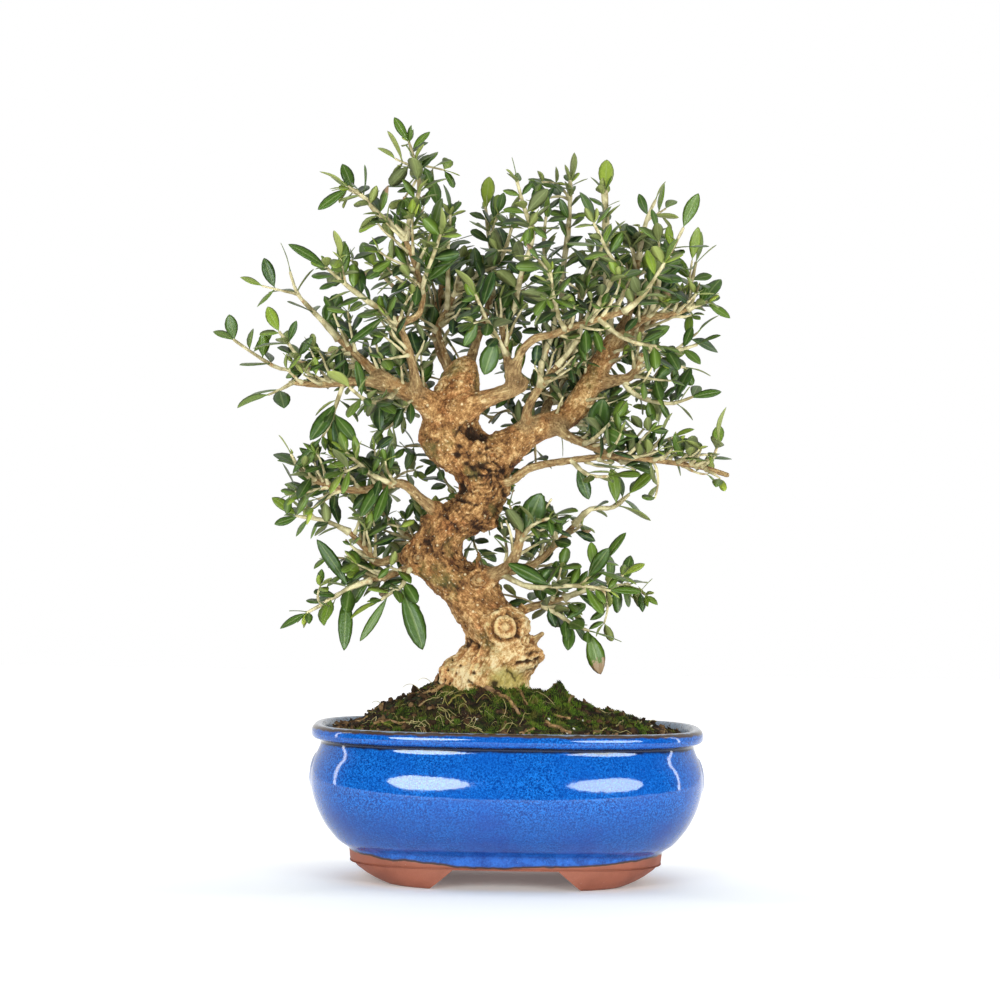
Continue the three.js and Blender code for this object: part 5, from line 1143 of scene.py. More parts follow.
# %% The plain branches
BRANCHES = {  # limb, share of its length, radii, bare share, pairs, shoots, path, large leaves
    "far_left": ("A2", 0.35, (1.5, 0.8), 0.45, 1, 0, [(-92, -8, 267), (-108, -4, 266), (-122, 0, 266),
        (-135, 2, 273), (-147, 4, 281)], [(0.99, -150, 2, 294, 7), (0.9, -156, -1, 281, 4),
        (0.84, -127, 8, 286, 5)]),
    "left_up": ("A1", 0.72, (1.3, 0.8), 0.3, 2, 0, [(-109, -29, 267), (-114, -30, 275), (-121, -31, 284)],
        []),
    "left_hanging": ("A1", 0.45, (1.3, 0.8), 0.3, 1, 0, [(-91, -25, 248), (-94, -27, 238),
        (-98, -28, 230)], [(0.35, -103, -34, 228, 8), (0.55, -81, -32, 228, 7),
        (0.95, -113, -30, 211, 5)]),
    "left_stub": ("A1", 0.97, (1.2, 0.7), 0.3, 1, 0, [(-119, -40, 254), (-125, -45, 251)], []),
    "left_cluster": ("A2", 0.95, (1.8, 0.8), 0.25, 2, 1, [(-100, -2, 291), (-107, 1, 298), (-114, 4, 306),
        (-118, 5, 317)], []),
    "left_front": ("A", 0.75, (1.8, 0.8), 0.35, 2, 0, [(-64, -24, 251), (-70, -38, 248), (-77, -50, 250),
        (-83, -60, 255)], []),
    "upper_left": ("E", 0.96, (2, 0.9), 0.25, 2, 1, [(-66, -33, 294), (-75, -36, 300), (-85, -39, 307),
        (-97, -42, 317)], [(0.15, -83, -40, 277, 5), (0.98, -115, -44, 330, 6)]),
    "upper_left_arm": ("E1", 0.98, (1.9, 0.9), 0.25, 2, 1, [(-64, -41, 340), (-72, -42, 346),
        (-79, -43, 354), (-86, -44, 358)], [(0.98, -102, -46, 347, 6)]),
    "upper_left_front": ("E1", 0.42, (1.4, 0.8), 0.3, 2, 0, [(-46, -46, 312), (-42, -55, 322),
        (-38, -62, 333)], [(0.2, -31, -48, 323, 7)]),
    "crown_tip": ("E1", 0.93, (1.7, 0.7), 0.3, 2, 1, [(-54, -36, 345), (-50, -33, 357), (-51, -30, 368),
        (-54, -27, 378), (-56, -25, 384)], [(0.98, -64, -25, 396, 5), (0.9, -46, -23, 390, 4)]),
    "crown_back_left": ("B1", 0.97, (1.9, 0.8), 0.1, 2, 1, [(-36, 46, 330), (-38, 50, 343),
        (-42, 52, 356)], []),
    "back_left_high": ("B1", 0.55, (1.8, 0.8), 0.25, 2, 0, [(-52, 40, 302), (-64, 48, 312),
        (-76, 54, 324)], []),
    "crown_back": ("B2", 0.97, (1.9, 0.8), 0.1, 2, 1, [(-11, 38, 324), (-14, 42, 340), (-16, 44, 356)],
        []),
    "crown_back_low": ("B2", 0.55, (1.8, 0.8), 0.25, 2, 0, [(-10, 42, 298), (-3, 56, 306), (2, 68, 316)],
        []),
    "back_left": ("B3", 0.97, (2, 0.8), 0.15, 2, 1, [(-80, 55, 269), (-90, 62, 278), (-97, 67, 290)], []),
    "back_left_low": ("B3", 0.5, (1.7, 0.8), 0.25, 2, 0, [(-60, 46, 245), (-66, 58, 238), (-72, 68, 236)],
        []),
    "crown_middle": ("F", 0.97, (2, 0.9), 0.15, 2, 0, [(-18, 10, 319), (-10, 9, 323), (-5, 7, 331),
        (-2, 6, 342)], []),
    "crown_middle_left": ("F", 0.75, (1.5, 0.7), 0.2, 2, 0, [(-35, 7, 316), (-35, 1, 332),
        (-34, -3, 348)], []),
    "crown_inner": ("C1", 0.96, (1.8, 0.9), 0.25, 2, 0, [(0, -15, 298), (2, -16, 310), (5, -17, 322),
        (9, -18, 336), (4, -19, 352), (0, -19, 366)], []),
    "crown_front": ("C1", 0.5, (1.6, 0.8), 0.3, 2, 1, [(-9, -26, 284), (-15, -38, 293), (-20, -50, 304)],
        [(0.3, -16, -24, 264, 10), (0.12, -8, -30, 262, 6)]),
    "front_right_high": ("H", 0.55, (1.6, 0.8), 0.3, 2, 1, [(23, -38, 293), (20, -50, 303),
        (18, -60, 315)], []),
    "right_pale_tip": ("H", 0.98, (1.7, 0.8), 0.2, 2, 0, [(64, -42, 303), (70, -49, 311), (76, -54, 321)],
        []),
    "right_pale_up": ("H", 0.74, (1.7, 0.8), 0.25, 2, 0, [(44, -33, 302), (49, -35, 311), (52, -37, 319),
        (46, -39, 330), (40, -40, 342)], []),
    "right_pale_low": ("H", 0.8, (1.5, 0.8), 0.3, 2, 0, [(52, -34, 286), (62, -38, 281), (73, -42, 279)],
        []),
    "crown_right_back": ("D1", 0.97, (2.2, 1.3), 0.4, 2, 0, [(28, 2, 292), (25, 14, 308), (26, 24, 324),
        (28, 30, 340), (29, 33, 356), (29, 34, 370)], []),
    "crown_right": ("D1", 0.5, (2, 0.8), 0.3, 2, 0, [(15, -8, 272), (21, -8, 290), (20, -3, 306),
        (17, 0, 320), (15, 2, 334), (16, 3, 348)], []),
    "crown_right_brown": ("D1", 0.78, (1.9, 0.8), 0.3, 2, 0, [(33, -13, 283), (35, -13, 296),
        (34, -10, 308), (40, -9, 320), (46, -9, 333)], []),
    "crown_right_top": ("D", 0.97, (2.6, 1.9), 0.35, 2, 0, [(50, 16, 298), (49, 20, 316), (48, 22, 334),
        (48, 23, 350), (47, 23, 364)], []),
    "right_back_top": ("D6", 0.97, (2, 0.8), 0.1, 2, 1, [(68, 36, 341), (71, 39, 352), (75, 41, 361)],
        []),
    "right_back_mid": ("D6", 0.6, (1.7, 0.8), 0.25, 2, 0, [(56, 38, 316), (48, 50, 324), (42, 60, 334)],
        []),
    "right_back": ("D5", 0.97, (2, 0.8), 0.15, 2, 1, [(88, 50, 308), (95, 54, 317), (98, 56, 329)], []),
    "right_back_low": ("D5", 0.5, (1.7, 0.8), 0.25, 2, 0, [(74, 38, 280), (84, 48, 274), (93, 56, 272)],
        []),
    "right_shoulder": ("J", 0.98, (1.7, 0.8), 0.15, 2, 0, [(97, -4, 303), (101, -5, 304)],
        [(0.95, 113, -8, 296, 5), (0.6, 101, -12, 313, 5)]),
    "right_shoulder_up": ("J", 0.55, (1.8, 0.8), 0.25, 2, 1, [(75, 1, 310), (77, 0, 322), (83, -2, 333),
        (88, -3, 343)], []),
    "right_elbow": ("K", 0.9, (1.8, 0.8), 0.25, 2, 1, [(76, 3, 280), (86, 0, 279), (96, -3, 282)], []),
    "right_middle": ("K", 0.45, (1.8, 0.8), 0.3, 2, 0, [(64, 8, 256), (75, 9, 252), (85, 10, 251.5),
        (95, 11, 255)], [(0.95, 110, 12, 259, 5)]),
    "right_front": ("D2", 0.5, (1.6, 0.8), 0.3, 1, 0, [(42, -16, 231), (47, -24, 236), (52, -32, 241)],
        [(0.45, 46, -28, 252, 12), (0.7, 58, -30, 230, 10)]),
    "right_low": ("D2", 0.97, (1.8, 0.8), 0.2, 2, 1, [(66, -12, 222), (75, -14, 229), (84, -15, 233)],
        [(0.9, 98, -14, 228, 6)]),
    "right_low_tip": ("D3", 0.86, (1.4, 0.7), 0.3, 2, 0, [(103, -32, 222), (105, -35, 227),
        (106, -37, 231)], [(0.3, 117, -34, 204, 6)]),
    "right_low_under": ("D3", 0.36, (1.4, 0.7), 0.25, 1, 0, [(36, -26, 215), (42, -31, 212),
        (50, -36, 212)], [(0.2, 40, -26, 200, 7)]),
    "right_back_under": ("D4", 0.97, (2, 0.8), 0.15, 2, 1, [(34, 58, 270), (42, 66, 278), (48, 72, 289)],
        []),
    "back_middle": ("D4", 0.6, (1.7, 0.8), 0.25, 2, 0, [(14, 50, 260), (6, 62, 266), (-2, 72, 274)], []),
    "back_low": ("G", 0.97, (2, 0.8), 0.15, 2, 1, [(-8, 60, 214), (-7, 71, 220), (-10, 80, 228)], []),
    "back_low_left": ("G1", 0.97, (1.9, 0.8), 0.2, 2, 1, [(-66, 42, 188), (-74, 50, 197), (-80, 56, 208)],
        []),
    "back_low_right": ("G2", 0.97, (1.9, 0.8), 0.15, 2, 1, [(38, 49, 243), (48, 55, 247), (57, 59, 253)],
        []),
    "low_left_upper": ("L1", 0.97, (1.5, 0.8), 0.15, 1, 0, [(-110, -25, 214), (-114, -28, 221)], []),
    "low_left_front": ("L1", 0.42, (1.6, 0.8), 0.25, 2, 1, [(-72, -28, 211), (-79, -36, 217),
        (-85, -44, 222)], [(0.1, -70, -30, 187, 6)]),
    "low_left": ("L2", 0.97, (1.7, 0.8), 0.2, 2, 1, [(-97, 7, 186.5), (-106, 6, 188), (-113, 6, 189)],
        [(0.98, -110, 4, 200, 7), (0.95, -124, 4, 184, 5)]),
    "low_left_hanging": ("L3", 0.96, (1.7, 0.8), 0.3, 1, 0, [(-82, -13, 152.5), (-90, -16, 148),
        (-97, -18, 143.5), (-105, -20, 139)], [(0.32, -99, -18, 178, 7), (0.34, -87, -22, 120, 8),
        (0.6, -110, -26, 129, 4), (0.99, -119, -22, 131, 5)]),
    "low_left_drop": ("L3", 0.3, (1.6, 0.8), 0.35, 1, 0, [(-56, -13, 154), (-60, -17, 151),
        (-67, -21, 146)], [(0.5, -42, -21, 122, 11), (0.8, -76, -22, 124, 5)]),
    "low_right_stump": ("R1", 0.8, (1.5, 0.8), 0.25, 1, 0, [(9, -24, 184), (14, -30, 188),
        (20, -35, 190)], [(0.2, 15, -26, 203, 13)]),
    "low_right": ("R2", 0.97, (1.8, 0.8), 0.2, 2, 1, [(42, 9, 195), (54, 8, 196), (62, 7, 203)], []),
    "low_right_front": ("R1", 0.3, (1.9, 0.8), 0.35, 2, 1, [(7, -16, 155), (17, -20, 154), (28, -22, 155),
        (40, -24, 155), (52, -25, 153)], [(0.3, 25, -30, 144, 9), (0.98, 68, -28, 154, 5)]),
    "low_right_back": ("R4", 0.97, (1.8, 0.8), 0.2, 2, 1, [(40, 18, 152), (50, 20, 154), (60, 22, 160)],
        []),
    "low_right_hanging": ("R4", 0.6, (1.6, 0.8), 0.3, 1, 0, [(26, 8, 139), (34, 5, 134), (42, 3, 131)],
        [(0.98, 50, 0, 109, 10), (0.6, 32, -2, 121, 7)]),
}

# %% The growth rule
PLAIN_GAPS = (3.2, 2.6, 1.8)  # to leaves, twigs and wood
SHOOT_LENGTH = 17.0
SHOOT_RADIUS = 0.75
SAMPLE_STEP = 2.5
PAIR_TILT = 0.95
END_TILT = 0.2
UP = Vector((0, 0, 1))
WORD = 0xFFFFFFFF


def seeded(seed):
    """A small generator that draws the same numbers wherever it runs."""
    state = seed & WORD

    def draw():
        nonlocal state
        state = (state + 0x6D2B79F5) & WORD
        mixed = ((state ^ (state >> 15)) * (1 | state)) & WORD
        mixed = ((mixed + (((mixed ^ (mixed >> 7)) * (61 | mixed)) & WORD)) & WORD) ^ mixed
        return (mixed ^ (mixed >> 14)) / 2**32

    return draw


def vectors(rows):
    return [Vector(row) for row in rows]


def point_on(points, share):
    """The point and heading at a share of a path's length."""
    lengths = pieces_of(points)
    left = share * sum(lengths)
    for i, length in enumerate(lengths):
        along = (points[i + 1] - points[i]).normalized()
        if left <= length or i == len(lengths) - 1:
            return points[i] + along * left, along
        left -= length
    return None


def branch_off(along, tilt, roll):
    """A direction that leaves a twig by a tilt, turned round it by a roll."""
    side = along.cross(UP)
    if side.length < 0.05:
        side = Vector((1, 0, 0))
    side.normalize()
    lift = side.cross(along).normalized()
    radial = side * math.cos(roll) + lift * math.sin(roll)
    return (along * math.cos(tilt) + radial * math.sin(tilt)).normalized()


def square_to(direction, wish):
    """The direction square to the first that comes nearest to the wish."""
    return (wish - direction * wish.dot(direction)).normalized()


def twig_samples(points, skip):
    length = sum(pieces_of(points))
    samples = []
    reach = skip
    while reach < length:
        samples.append(point_on(points, reach / length)[0])
        reach += SAMPLE_STEP
    return samples + [points[-1].copy()]


def blade_point(leaf, along, across):
    return (
        leaf.base + leaf.direction * (leaf.length * along)
        - leaf.normal * (leaf.arch * leaf.length * along * along)
        + leaf.direction.cross(leaf.normal) * (across * leaf.width)
    )


def leaf_samples(leaf):
    middle = [blade_point(leaf, along, 0) for along in (0.3, 0.5, 0.7, 0.87, 1)]
    edges = [blade_point(leaf, along, across) for across in (-0.45, 0.45) for along in (0.42, 0.68)]
    return middle + edges


def facing(direction, draw):
    """The upper side of a leaf, which looks for the light."""
    return square_to(direction, Vector((1.1 * (draw() - 0.5), -0.35 + 1.1 * (draw() - 0.5), 0.75)))


class Crowd:
    """Points kept in small boxes, so that close neighbours are found at once."""

    STEP = 6.0
    AROUND = [(i, j, k) for i in (-1, 0, 1) for j in (-1, 0, 1) for k in (-1, 0, 1)]

    def __init__(self):
        self.boxes = {}

    def box_of(self, point):
        return tuple(int(math.floor(c / self.STEP)) for c in point)

    def add(self, points):
        for point in points:
            self.boxes.setdefault(self.box_of(point), []).append(tuple(point))

    def clears(self, points, gap):
        limit = gap * gap
        for point in points:
            px, py, pz = point
            bx, by, bz = self.box_of(point)
            for i, j, k in self.AROUND:
                for x, y, z in self.boxes.get((bx + i, by + j, bz + k), ()):
                    if (x - px) ** 2 + (y - py) ** 2 + (z - pz) ** 2 <= limit:
                        return False
        return True


def far_from(samples, others, gap):
    return all((a - b).length_squared > gap * gap for a in samples for b in others)


wood_balls = []
for (root_radius, end_radius), path in LIMBS.values():
    points = vectors(path)
    last = len(twig_samples(points, 0)) - 1
    for i in range(last + 1):
        size = root_radius + (end_radius - root_radius) * (i / last)
        wood_balls.append((*point_on(points, i / last)[0], size))
for x, y, z, half_width, half_depth in TRUNK_SLICES:
    wood_balls.append((x, y, z, max(half_width, half_depth) + 1))
wood_balls = np.array(wood_balls)
print("wood to keep clear of:", len(wood_balls), "balls")


def clear_of_wood(samples, gap):
    away = np.array(samples)[:, None, :] - wood_balls[None, :, :3]
    return bool((np.sqrt((away**2).sum(2)) > wood_balls[:, 3] + gap).all())


# %% Grow the plain branches again
twig_crowd, leaf_crowd = Crowd(), Crowd()


def new_twig(points, radii, pairs, bare):
    return SimpleNamespace(points=points, radii=radii, pairs=pairs, bare=bare)


def grow_twigs(name, seed):
    on, at, radii, bare, pairs, shoots, path, _ = BRANCHES[name]
    draw = seeded(seed)
    stem = [point_on(vectors(LIMBS[on][1]), at)[0]] + vectors(path)
    twigs = [new_twig(stem, radii, pairs, bare)]
    own = twig_samples(stem, 8)
    for i in range(shoots):
        share = bare + (1 - bare) * (i + 0.35 + 0.3 * draw()) / shoots
        point, along = point_on(stem, min(share, 0.96))
        length = SHOOT_LENGTH * (0.75 + 0.5 * draw())
        first_roll = TURN * draw()
        for attempt in range(10):
            roll = first_roll + attempt * 0.63 + i * 2.4
            direction = branch_off(along, 0.8 + 0.25 * math.sin(attempt), roll)
            if direction.z < -0.55:
                continue
            shoot = [point, point + direction * length]
            samples = twig_samples(shoot, 5)
            if clear_of_wood(samples, 4) and twig_crowd.clears(samples, 6) and far_from(samples, own, 3.5):
                twigs.append(new_twig(shoot, (SHOOT_RADIUS, SHOOT_RADIUS * 0.7), 1, 0.35))
                own += samples
                break
    twig_crowd.add(own)
    return SimpleNamespace(name=name, on=on, draw=draw, twigs=twigs, leaves=[])


def new_leaf(base, direction, normal, length, width, arch, share, fine=True, large=False):
    return SimpleNamespace(
        base=base, direction=direction, normal=normal, length=length, width=width, arch=arch, share=share,
        fine=fine, large=large,
    )


def keep_leaf(branch, leaf, gaps=PLAIN_GAPS):
    """Adds the leaf to its branch if it is clear of everything."""
    samples = leaf_samples(leaf)
    if not (leaf_crowd.clears(samples, gaps[0]) and twig_crowd.clears(samples[1:], gaps[1])):
        return False
    if not clear_of_wood(samples, gaps[2]):
        return False
    branch.leaves.append(leaf)
    leaf_crowd.add(samples)
    return True


def place_leaf(branch, twig, share, roll, tilt):
    draw = branch.draw
    point, along = point_on(twig.points, share)
    length = 12 + 9 * draw() ** 1.5
    width = length * (0.34 + 0.12 * draw())
    arch = 0.05 + 0.16 * draw()
    for attempt in range(8):
        turn = 0.12 * attempt if attempt % 2 else -0.07 * attempt
        direction = branch_off(along, tilt + turn, roll + 0.3 * attempt)
        if keep_leaf(branch, new_leaf(point, direction, facing(direction, draw), length, width, arch, share)):
            return


def broad_leaf(branch, base, reach, width, arch, share, outward, gaps=PLAIN_GAPS):
    """A leaf that reaches from its base to a spot in front and shows its upper side."""
    direction = reach.normalized()
    normal = square_to(direction, Vector(outward))
    return keep_leaf(branch, new_leaf(
        base, direction, normal, reach.length, width, arch, share, large=True,
    ), gaps)


def leaf_count():
    return sum(len(branch.leaves) for branch in branches)


branches = [grow_twigs(name, 41 + 17 * i) for i, name in enumerate(BRANCHES)]
for branch in branches:
    for share, x, y, z, width in BRANCHES[branch.name][7]:
        base = point_on(branch.twigs[0].points, share)[0]
        broad_leaf(branch, base, Vector((x, y, z)) - base, width, 0.04, share, (0, -1, 0.45))
    for order, twig in enumerate(branch.twigs):
        for pair in range(twig.pairs):
            share = twig.bare + (0.93 - twig.bare) * (pair + 0.5) / twig.pairs
            roll = (pair + order) * math.pi / 2 + 0.5 * branch.draw()
            place_leaf(branch, twig, share, roll, PAIR_TILT)
            place_leaf(branch, twig, share, roll + math.pi, PAIR_TILT)
        place_leaf(branch, twig, 0.985, 0.7 + order, END_TILT)
print("plain leaves:", leaf_count())

# %% [markdown]
# ### Filling the crown
# More shoots grow from the twigs and from the outer half of the limbs. Each curves up towards the light
# and carries small leaves in crossed pairs, the smallest at the tip.
# The crown has been trimmed to a shape, so a leaf is only kept inside that outline, seen from the front,
# and a few windows stay open, through which the limbs show.

# %% The trimmed outline and the windows in it
CROWN_OUTLINE = [
    (-64, 398), (-46, 398), (-34, 394), (-28, 384), (-24, 374), (-12, 368), (-9, 384), (0, 386), (8, 378),
    (20, 380), (22, 388), (34, 388), (38, 378), (52, 376), (54, 362), (60, 346), (72, 342), (86, 340),
    (90, 332), (90, 318), (104, 312), (116, 303), (90, 290), (76, 284), (88, 277), (98, 262), (86, 248),
    (84, 240), (102, 230), (114, 206), (104, 203), (94, 216), (84, 218), (82, 196), (66, 196), (48, 212),
    (8, 212), (2, 206), (2, 198), (22, 206), (24, 192), (42, 192), (46, 177), (54, 170), (76, 162),
    (80, 144), (60, 134), (54, 124), (30, 124), (16, 134), (-2, 138), (-44, 148), (-50, 120), (-60, 124),
    (-66, 146), (-80, 132), (-98, 122), (-120, 138), (-105, 154), (-112, 166), (-108, 184), (-123, 190),
    (-120, 210), (-113, 218), (-120, 226), (-100, 229), (-112, 241), (-106, 247), (-84, 251), (-119, 258),
    (-120, 270), (-142, 279), (-136, 288), (-100, 285), (-98, 294), (-104, 300), (-106, 312), (-116, 322),
    (-110, 336), (-84, 335), (-80, 345), (-92, 350), (-102, 360), (-94, 370), (-66, 368), (-62, 380),
]
WINDOWS = [  # x, z, radius
    (-42, 352, 4), (-22, 353, 4), (5, 271, 4), (20, 228, 6), (35, 222, 8), (-42, 153, 6), (-87, 183, 6),
    (-92, 173, 5), (-62, 142, 5), (-82, 251, 4), (-97, 281, 6), (30, 214, 7), (-20, 233, 9),
    (-26, 216, 9), (86, 290, 6), (60, 206, 7), (84, 215, 6), (8, 160, 6), (36, 150, 4),
]


def nearness(y):
    """How much larger a thing looks than at the middle of the pot, by how far in front it stands."""
    return EYE_DISTANCE / (EYE_DISTANCE + y)


def seen_from_front(point):
    near = nearness(point.y)
    return point.x * near, EYE_HEIGHT + (point.z - EYE_HEIGHT) * near


def inside_outline(x, z):
    inside = False
    for (ax, az), (bx, bz) in zip(CROWN_OUTLINE, CROWN_OUTLINE[1:] + CROWN_OUTLINE[:1]):
        if (az > z) != (bz > z) and x < ax + (z - az) / (bz - az) * (bx - ax):
            inside = not inside
    return inside


# x, z and radius of the wood as seen from the front, and how far back it stands
seen_wood = np.array([
    (*seen_from_front(Vector(row[:3])), row[3], row[1]) for row in (*wood_balls, *TRUNK_SLICES)
])


def veils_wood(points):
    """True where a point would hide the wood behind it from the front."""
    for point in points:
        x, z = seen_from_front(point)
        over = (seen_wood[:, 0] - x) ** 2 + (seen_wood[:, 1] - z) ** 2 < seen_wood[:, 2] ** 2
        if (over & (seen_wood[:, 3] > point.y)).any():
            return True
    return False


def has_room(points):
    for x, z in map(seen_from_front, points):
        if not inside_outline(x, z):
            return False
        if any((x - wx) ** 2 + (z - wz) ** 2 < size * size for wx, wz, size in WINDOWS):
            return False
    return True


# %% Grow more shoots and leaves
MORE_GAPS = (1.6, 1.2, 0.8)  # to leaves, twigs and wood
ROUNDS = 5
SPARSE_RIGHT = 0.6  # the right side below the top carries fewer leaves
CLEAR_WOOD = 0.93  # how strictly leaves stay out of the way of the wood behind them
LARGE_LEAVES = [  # x and z of foot and tip as seen from the front, and width
    (20, 144, -2, 157, 8.5), (-56, 204, -69, 186, 7.0), (30, 168, 41, 184, 7.5),
]
chance = random.Random(20)
by_limb = {}
for branch in branches:
    by_limb.setdefault(branch.on, []).append(branch)


def extra_leaf(branch, twig, share, roll, tilt, size):
    point, along = point_on(twig.points, share)
    length = size * chance.uniform(0.8, 1.2)
    width = length * chance.uniform(0.37, 0.54)
    for attempt in range(5):
        direction = branch_off(along, tilt + chance.uniform(-0.2, 0.25), roll + 0.35 * attempt)
        normal = facing(direction, chance.random)
        leaf = new_leaf(point, direction, normal, length, width, chance.uniform(-0.02, 0.22), share, False)
        samples = leaf_samples(leaf)
        if not has_room(samples) or (chance.random() < CLEAR_WOOD and veils_wood(samples)):
            continue
        if point.x > 42 and point.z < 300 and chance.random() < SPARSE_RIGHT:
            continue
        if keep_leaf(branch, leaf, MORE_GAPS):
            return


def dress(branch, twig, size):
    """Crossed pairs of leaves along a twig, and one or two at its tip."""
    length = sum(pieces_of(twig.points))
    bare = max(twig.bare, 3.0 / length)
    steps = max(1, int(length * (0.97 - bare) / chance.uniform(5.0, 7.0)))
    for step in range(steps + 1):
        share = bare + (0.97 - bare) * step / steps
        roll = step * math.pi / 2 + chance.uniform(0, 0.8)
        here = size * (1.0 - 0.30 * share)
        extra_leaf(branch, twig, share, roll, 1.0, here)
        extra_leaf(branch, twig, share, roll + math.pi, 1.0, here)
    first_roll = chance.uniform(0, 6)
    for bud in range(3):
        extra_leaf(branch, twig, 0.985, first_roll + 2.1 * bud, 0.5, chance.uniform(0.38, 0.62) * size)


def keep_shoot(branch, path, samples, thickness, bare, size):
    twig_crowd.add(samples)
    twig = new_twig(path, (thickness, 0.5), 0, bare)
    branch.twigs.append(twig)
    dress(branch, twig, size)


def extra_shoot(branch, points, share, thickness, wood, size):
    """A shoot that leaves a twig or a limb and curves up, kept and dressed where there is room."""
    point, along = point_on(points, share)
    length = chance.uniform(11, 24)
    for attempt in range(6):
        heading = branch_off(along, chance.uniform(0.5, 1.15), chance.uniform(0, TURN))
        if heading.z < -0.5:
            continue
        path = [point + heading * (wood * 0.6)]
        for _ in range(4):
            sway = [chance.gauss(0, 0.09) for _ in range(3)]
            heading = (heading + Vector((sway[0], sway[1], 0.07 + sway[2]))).normalized()
            path.append(path[-1] + heading * length / 4)
        samples = twig_samples(path, wood + 2.2)
        if has_room(samples) and twig_crowd.clears(samples, 3.0) and clear_of_wood(samples[1:], 1.2):
            if leaf_crowd.clears(samples, 1.2) and not veils_wood(samples[2:]):
                return keep_shoot(branch, path, samples, thickness, 0.2, size)
    return None


def large_leaf(base_x, base_z, tip_x, tip_z, width):
    """One broad leaf towards the viewer, on the twig that passes nearest to its foot."""
    nearest = None
    for branch in branches:
        for twig in branch.twigs:
            for share in (step / 10 for step in range(2, 11)):
                point = point_on(twig.points, share)[0]
                x, z = seen_from_front(point)
                miss = math.hypot(x - base_x, z - base_z) + 0.3 * point.y
                if nearest is None or miss < nearest[0]:
                    nearest = (miss, branch, point, share)
    miss, branch, point, share = nearest
    reach = Vector((tip_x - base_x, -7, tip_z - base_z))
    kept = broad_leaf(branch, point, reach, width, 0.05, share, (0, -1, 0.35), (1.2, 0.7, 0.8))
    print("large leaf", branch.name, "missed by", round(miss, 1), "kept:", kept)


for row in LARGE_LEAVES:
    large_leaf(*row)
for branch in branches:
    for twig in list(branch.twigs):
        dress(branch, twig, 16)
for sweep in range(ROUNDS):
    for branch in branches:
        for twig in list(branch.twigs):
            for _ in range(max(1, int(sum(pieces_of(twig.points)) / 14))):
                extra_shoot(branch, twig.points, chance.uniform(0.25, 0.97), 0.82, 0.3, 14.5)
    for limb, group in by_limb.items():
        (root_radius, end_radius), path = LIMBS[limb]
        points = vectors(path)
        for _ in range(int(sum(pieces_of(points)) / 16)):
            share = chance.uniform(0.4, 0.97)
            radius = root_radius + (end_radius - root_radius) * share
            extra_shoot(group[0], points, share, 1.0, radius, 15.5)
    print("sweep", sweep + 1, "leaves:", leaf_count())

# %% [markdown]
# A crown grows towards the light: wherever the sky shows through, a shoot fills the hole. So spots are
# looked for that stand open, from the front and then all round, and the nearest twig reaches for them.

# %% Fill what stands open
FILLS = [(1200, True), (1000, True), (800, True), (350, False)]  # tries, and whether from the front only
front_crowd = Crowd()  # the leaves as seen from the front, all in one plane


def note_front(leaves):
    for leaf in leaves:
        front_crowd.add([Vector((x, 0, z)) for x, z in map(seen_from_front, leaf_samples(leaf))])


def reach_for(target, spots, tree):
    """Grows a dressed shoot from the nearest twig to a spot, if the way there is clear."""
    _, index, away = tree.find(target)
    root, twig_heading, branch = spots[index]
    wanted = (target - root).normalized()
    if not 8 < away < 30 or wanted.dot(twig_heading) < -0.1:
        return False
    bend = root + (wanted + 0.7 * twig_heading).normalized() * 0.5 * away
    path = [root.lerp(bend, t).lerp(bend.lerp(target, t), t) for t in (0, 0.25, 0.5, 0.75, 1)]
    samples = twig_samples(path, 2.6)
    if not has_room(samples) or not twig_crowd.clears(samples, 2.4) or not leaf_crowd.clears(samples, 1.0):
        return False
    if veils_wood(samples[2:]) or not clear_of_wood(samples, 1.0):
        return False
    before = len(branch.leaves)
    keep_shoot(branch, path, samples, 0.85, 0.3, 15.5)
    note_front(branch.leaves[before:])
    return True


for branch in branches:
    note_front(branch.leaves)
for sweep, (tries, from_front) in enumerate(FILLS):
    spots = [
        (*point_on(twig.points, share), branch)
        for branch in branches for twig in branch.twigs for share in (0.3, 0.45, 0.6, 0.75, 0.9)
    ]
    tree = tree_of(spots)
    grown = 0
    for _ in range(tries):
        x, z = chance.uniform(-116, 106), chance.uniform(122, 372)
        if not all(inside_outline(x + dx, z + dz) for dx, dz in ((-6, -4), (-6, 6), (6, -4), (6, 6))):
            continue
        if from_front and not front_crowd.clears([Vector((x, 0, z))], 3.6):
            continue
        for _ in range(4):
            y = clamp(chance.gauss(8, 26), -50, 64)
            target = Vector((x / nearness(y), y, EYE_HEIGHT + (z - EYE_HEIGHT) / nearness(y)))
            if leaf_crowd.clears([target], 5.5) and reach_for(target, spots, tree):
                grown += 1
                break
    print("fill", sweep + 1, "shoots:", grown, "leaves:", leaf_count())

# %% [markdown]
# ### One leaf
# An olive leaf is leathery, widest beyond its middle, folded a little along its pale midrib and rolled back
# at the edge. Two grids, merged along their border, make a closed blade that is thickest at the midrib.
# Its first tenth narrows to a stalk.

# %% The blade
BLADE_THICKNESS = 0.5
FINE_BLADE = [  # share of the length, share of the half-width
    (0.0, 0.05), (0.08, 0.08), (0.22, 0.50), (0.38, 0.84), (0.54, 1.0), (0.70, 0.95), (0.85, 0.68),
    (0.95, 0.32), (1.0, 0.0),
]
ROUND_BLADE = [(0.0, 0.07), (0.10, 0.12), (0.34, 0.80), (0.60, 1.0), (0.84, 0.84), (0.96, 0.44), (1.0, 0.0)]
LANCE_BLADE = [(0.0, 0.07), (0.10, 0.12), (0.30, 0.74), (0.52, 1.0), (0.75, 0.82), (0.92, 0.36), (1.0, 0.0)]


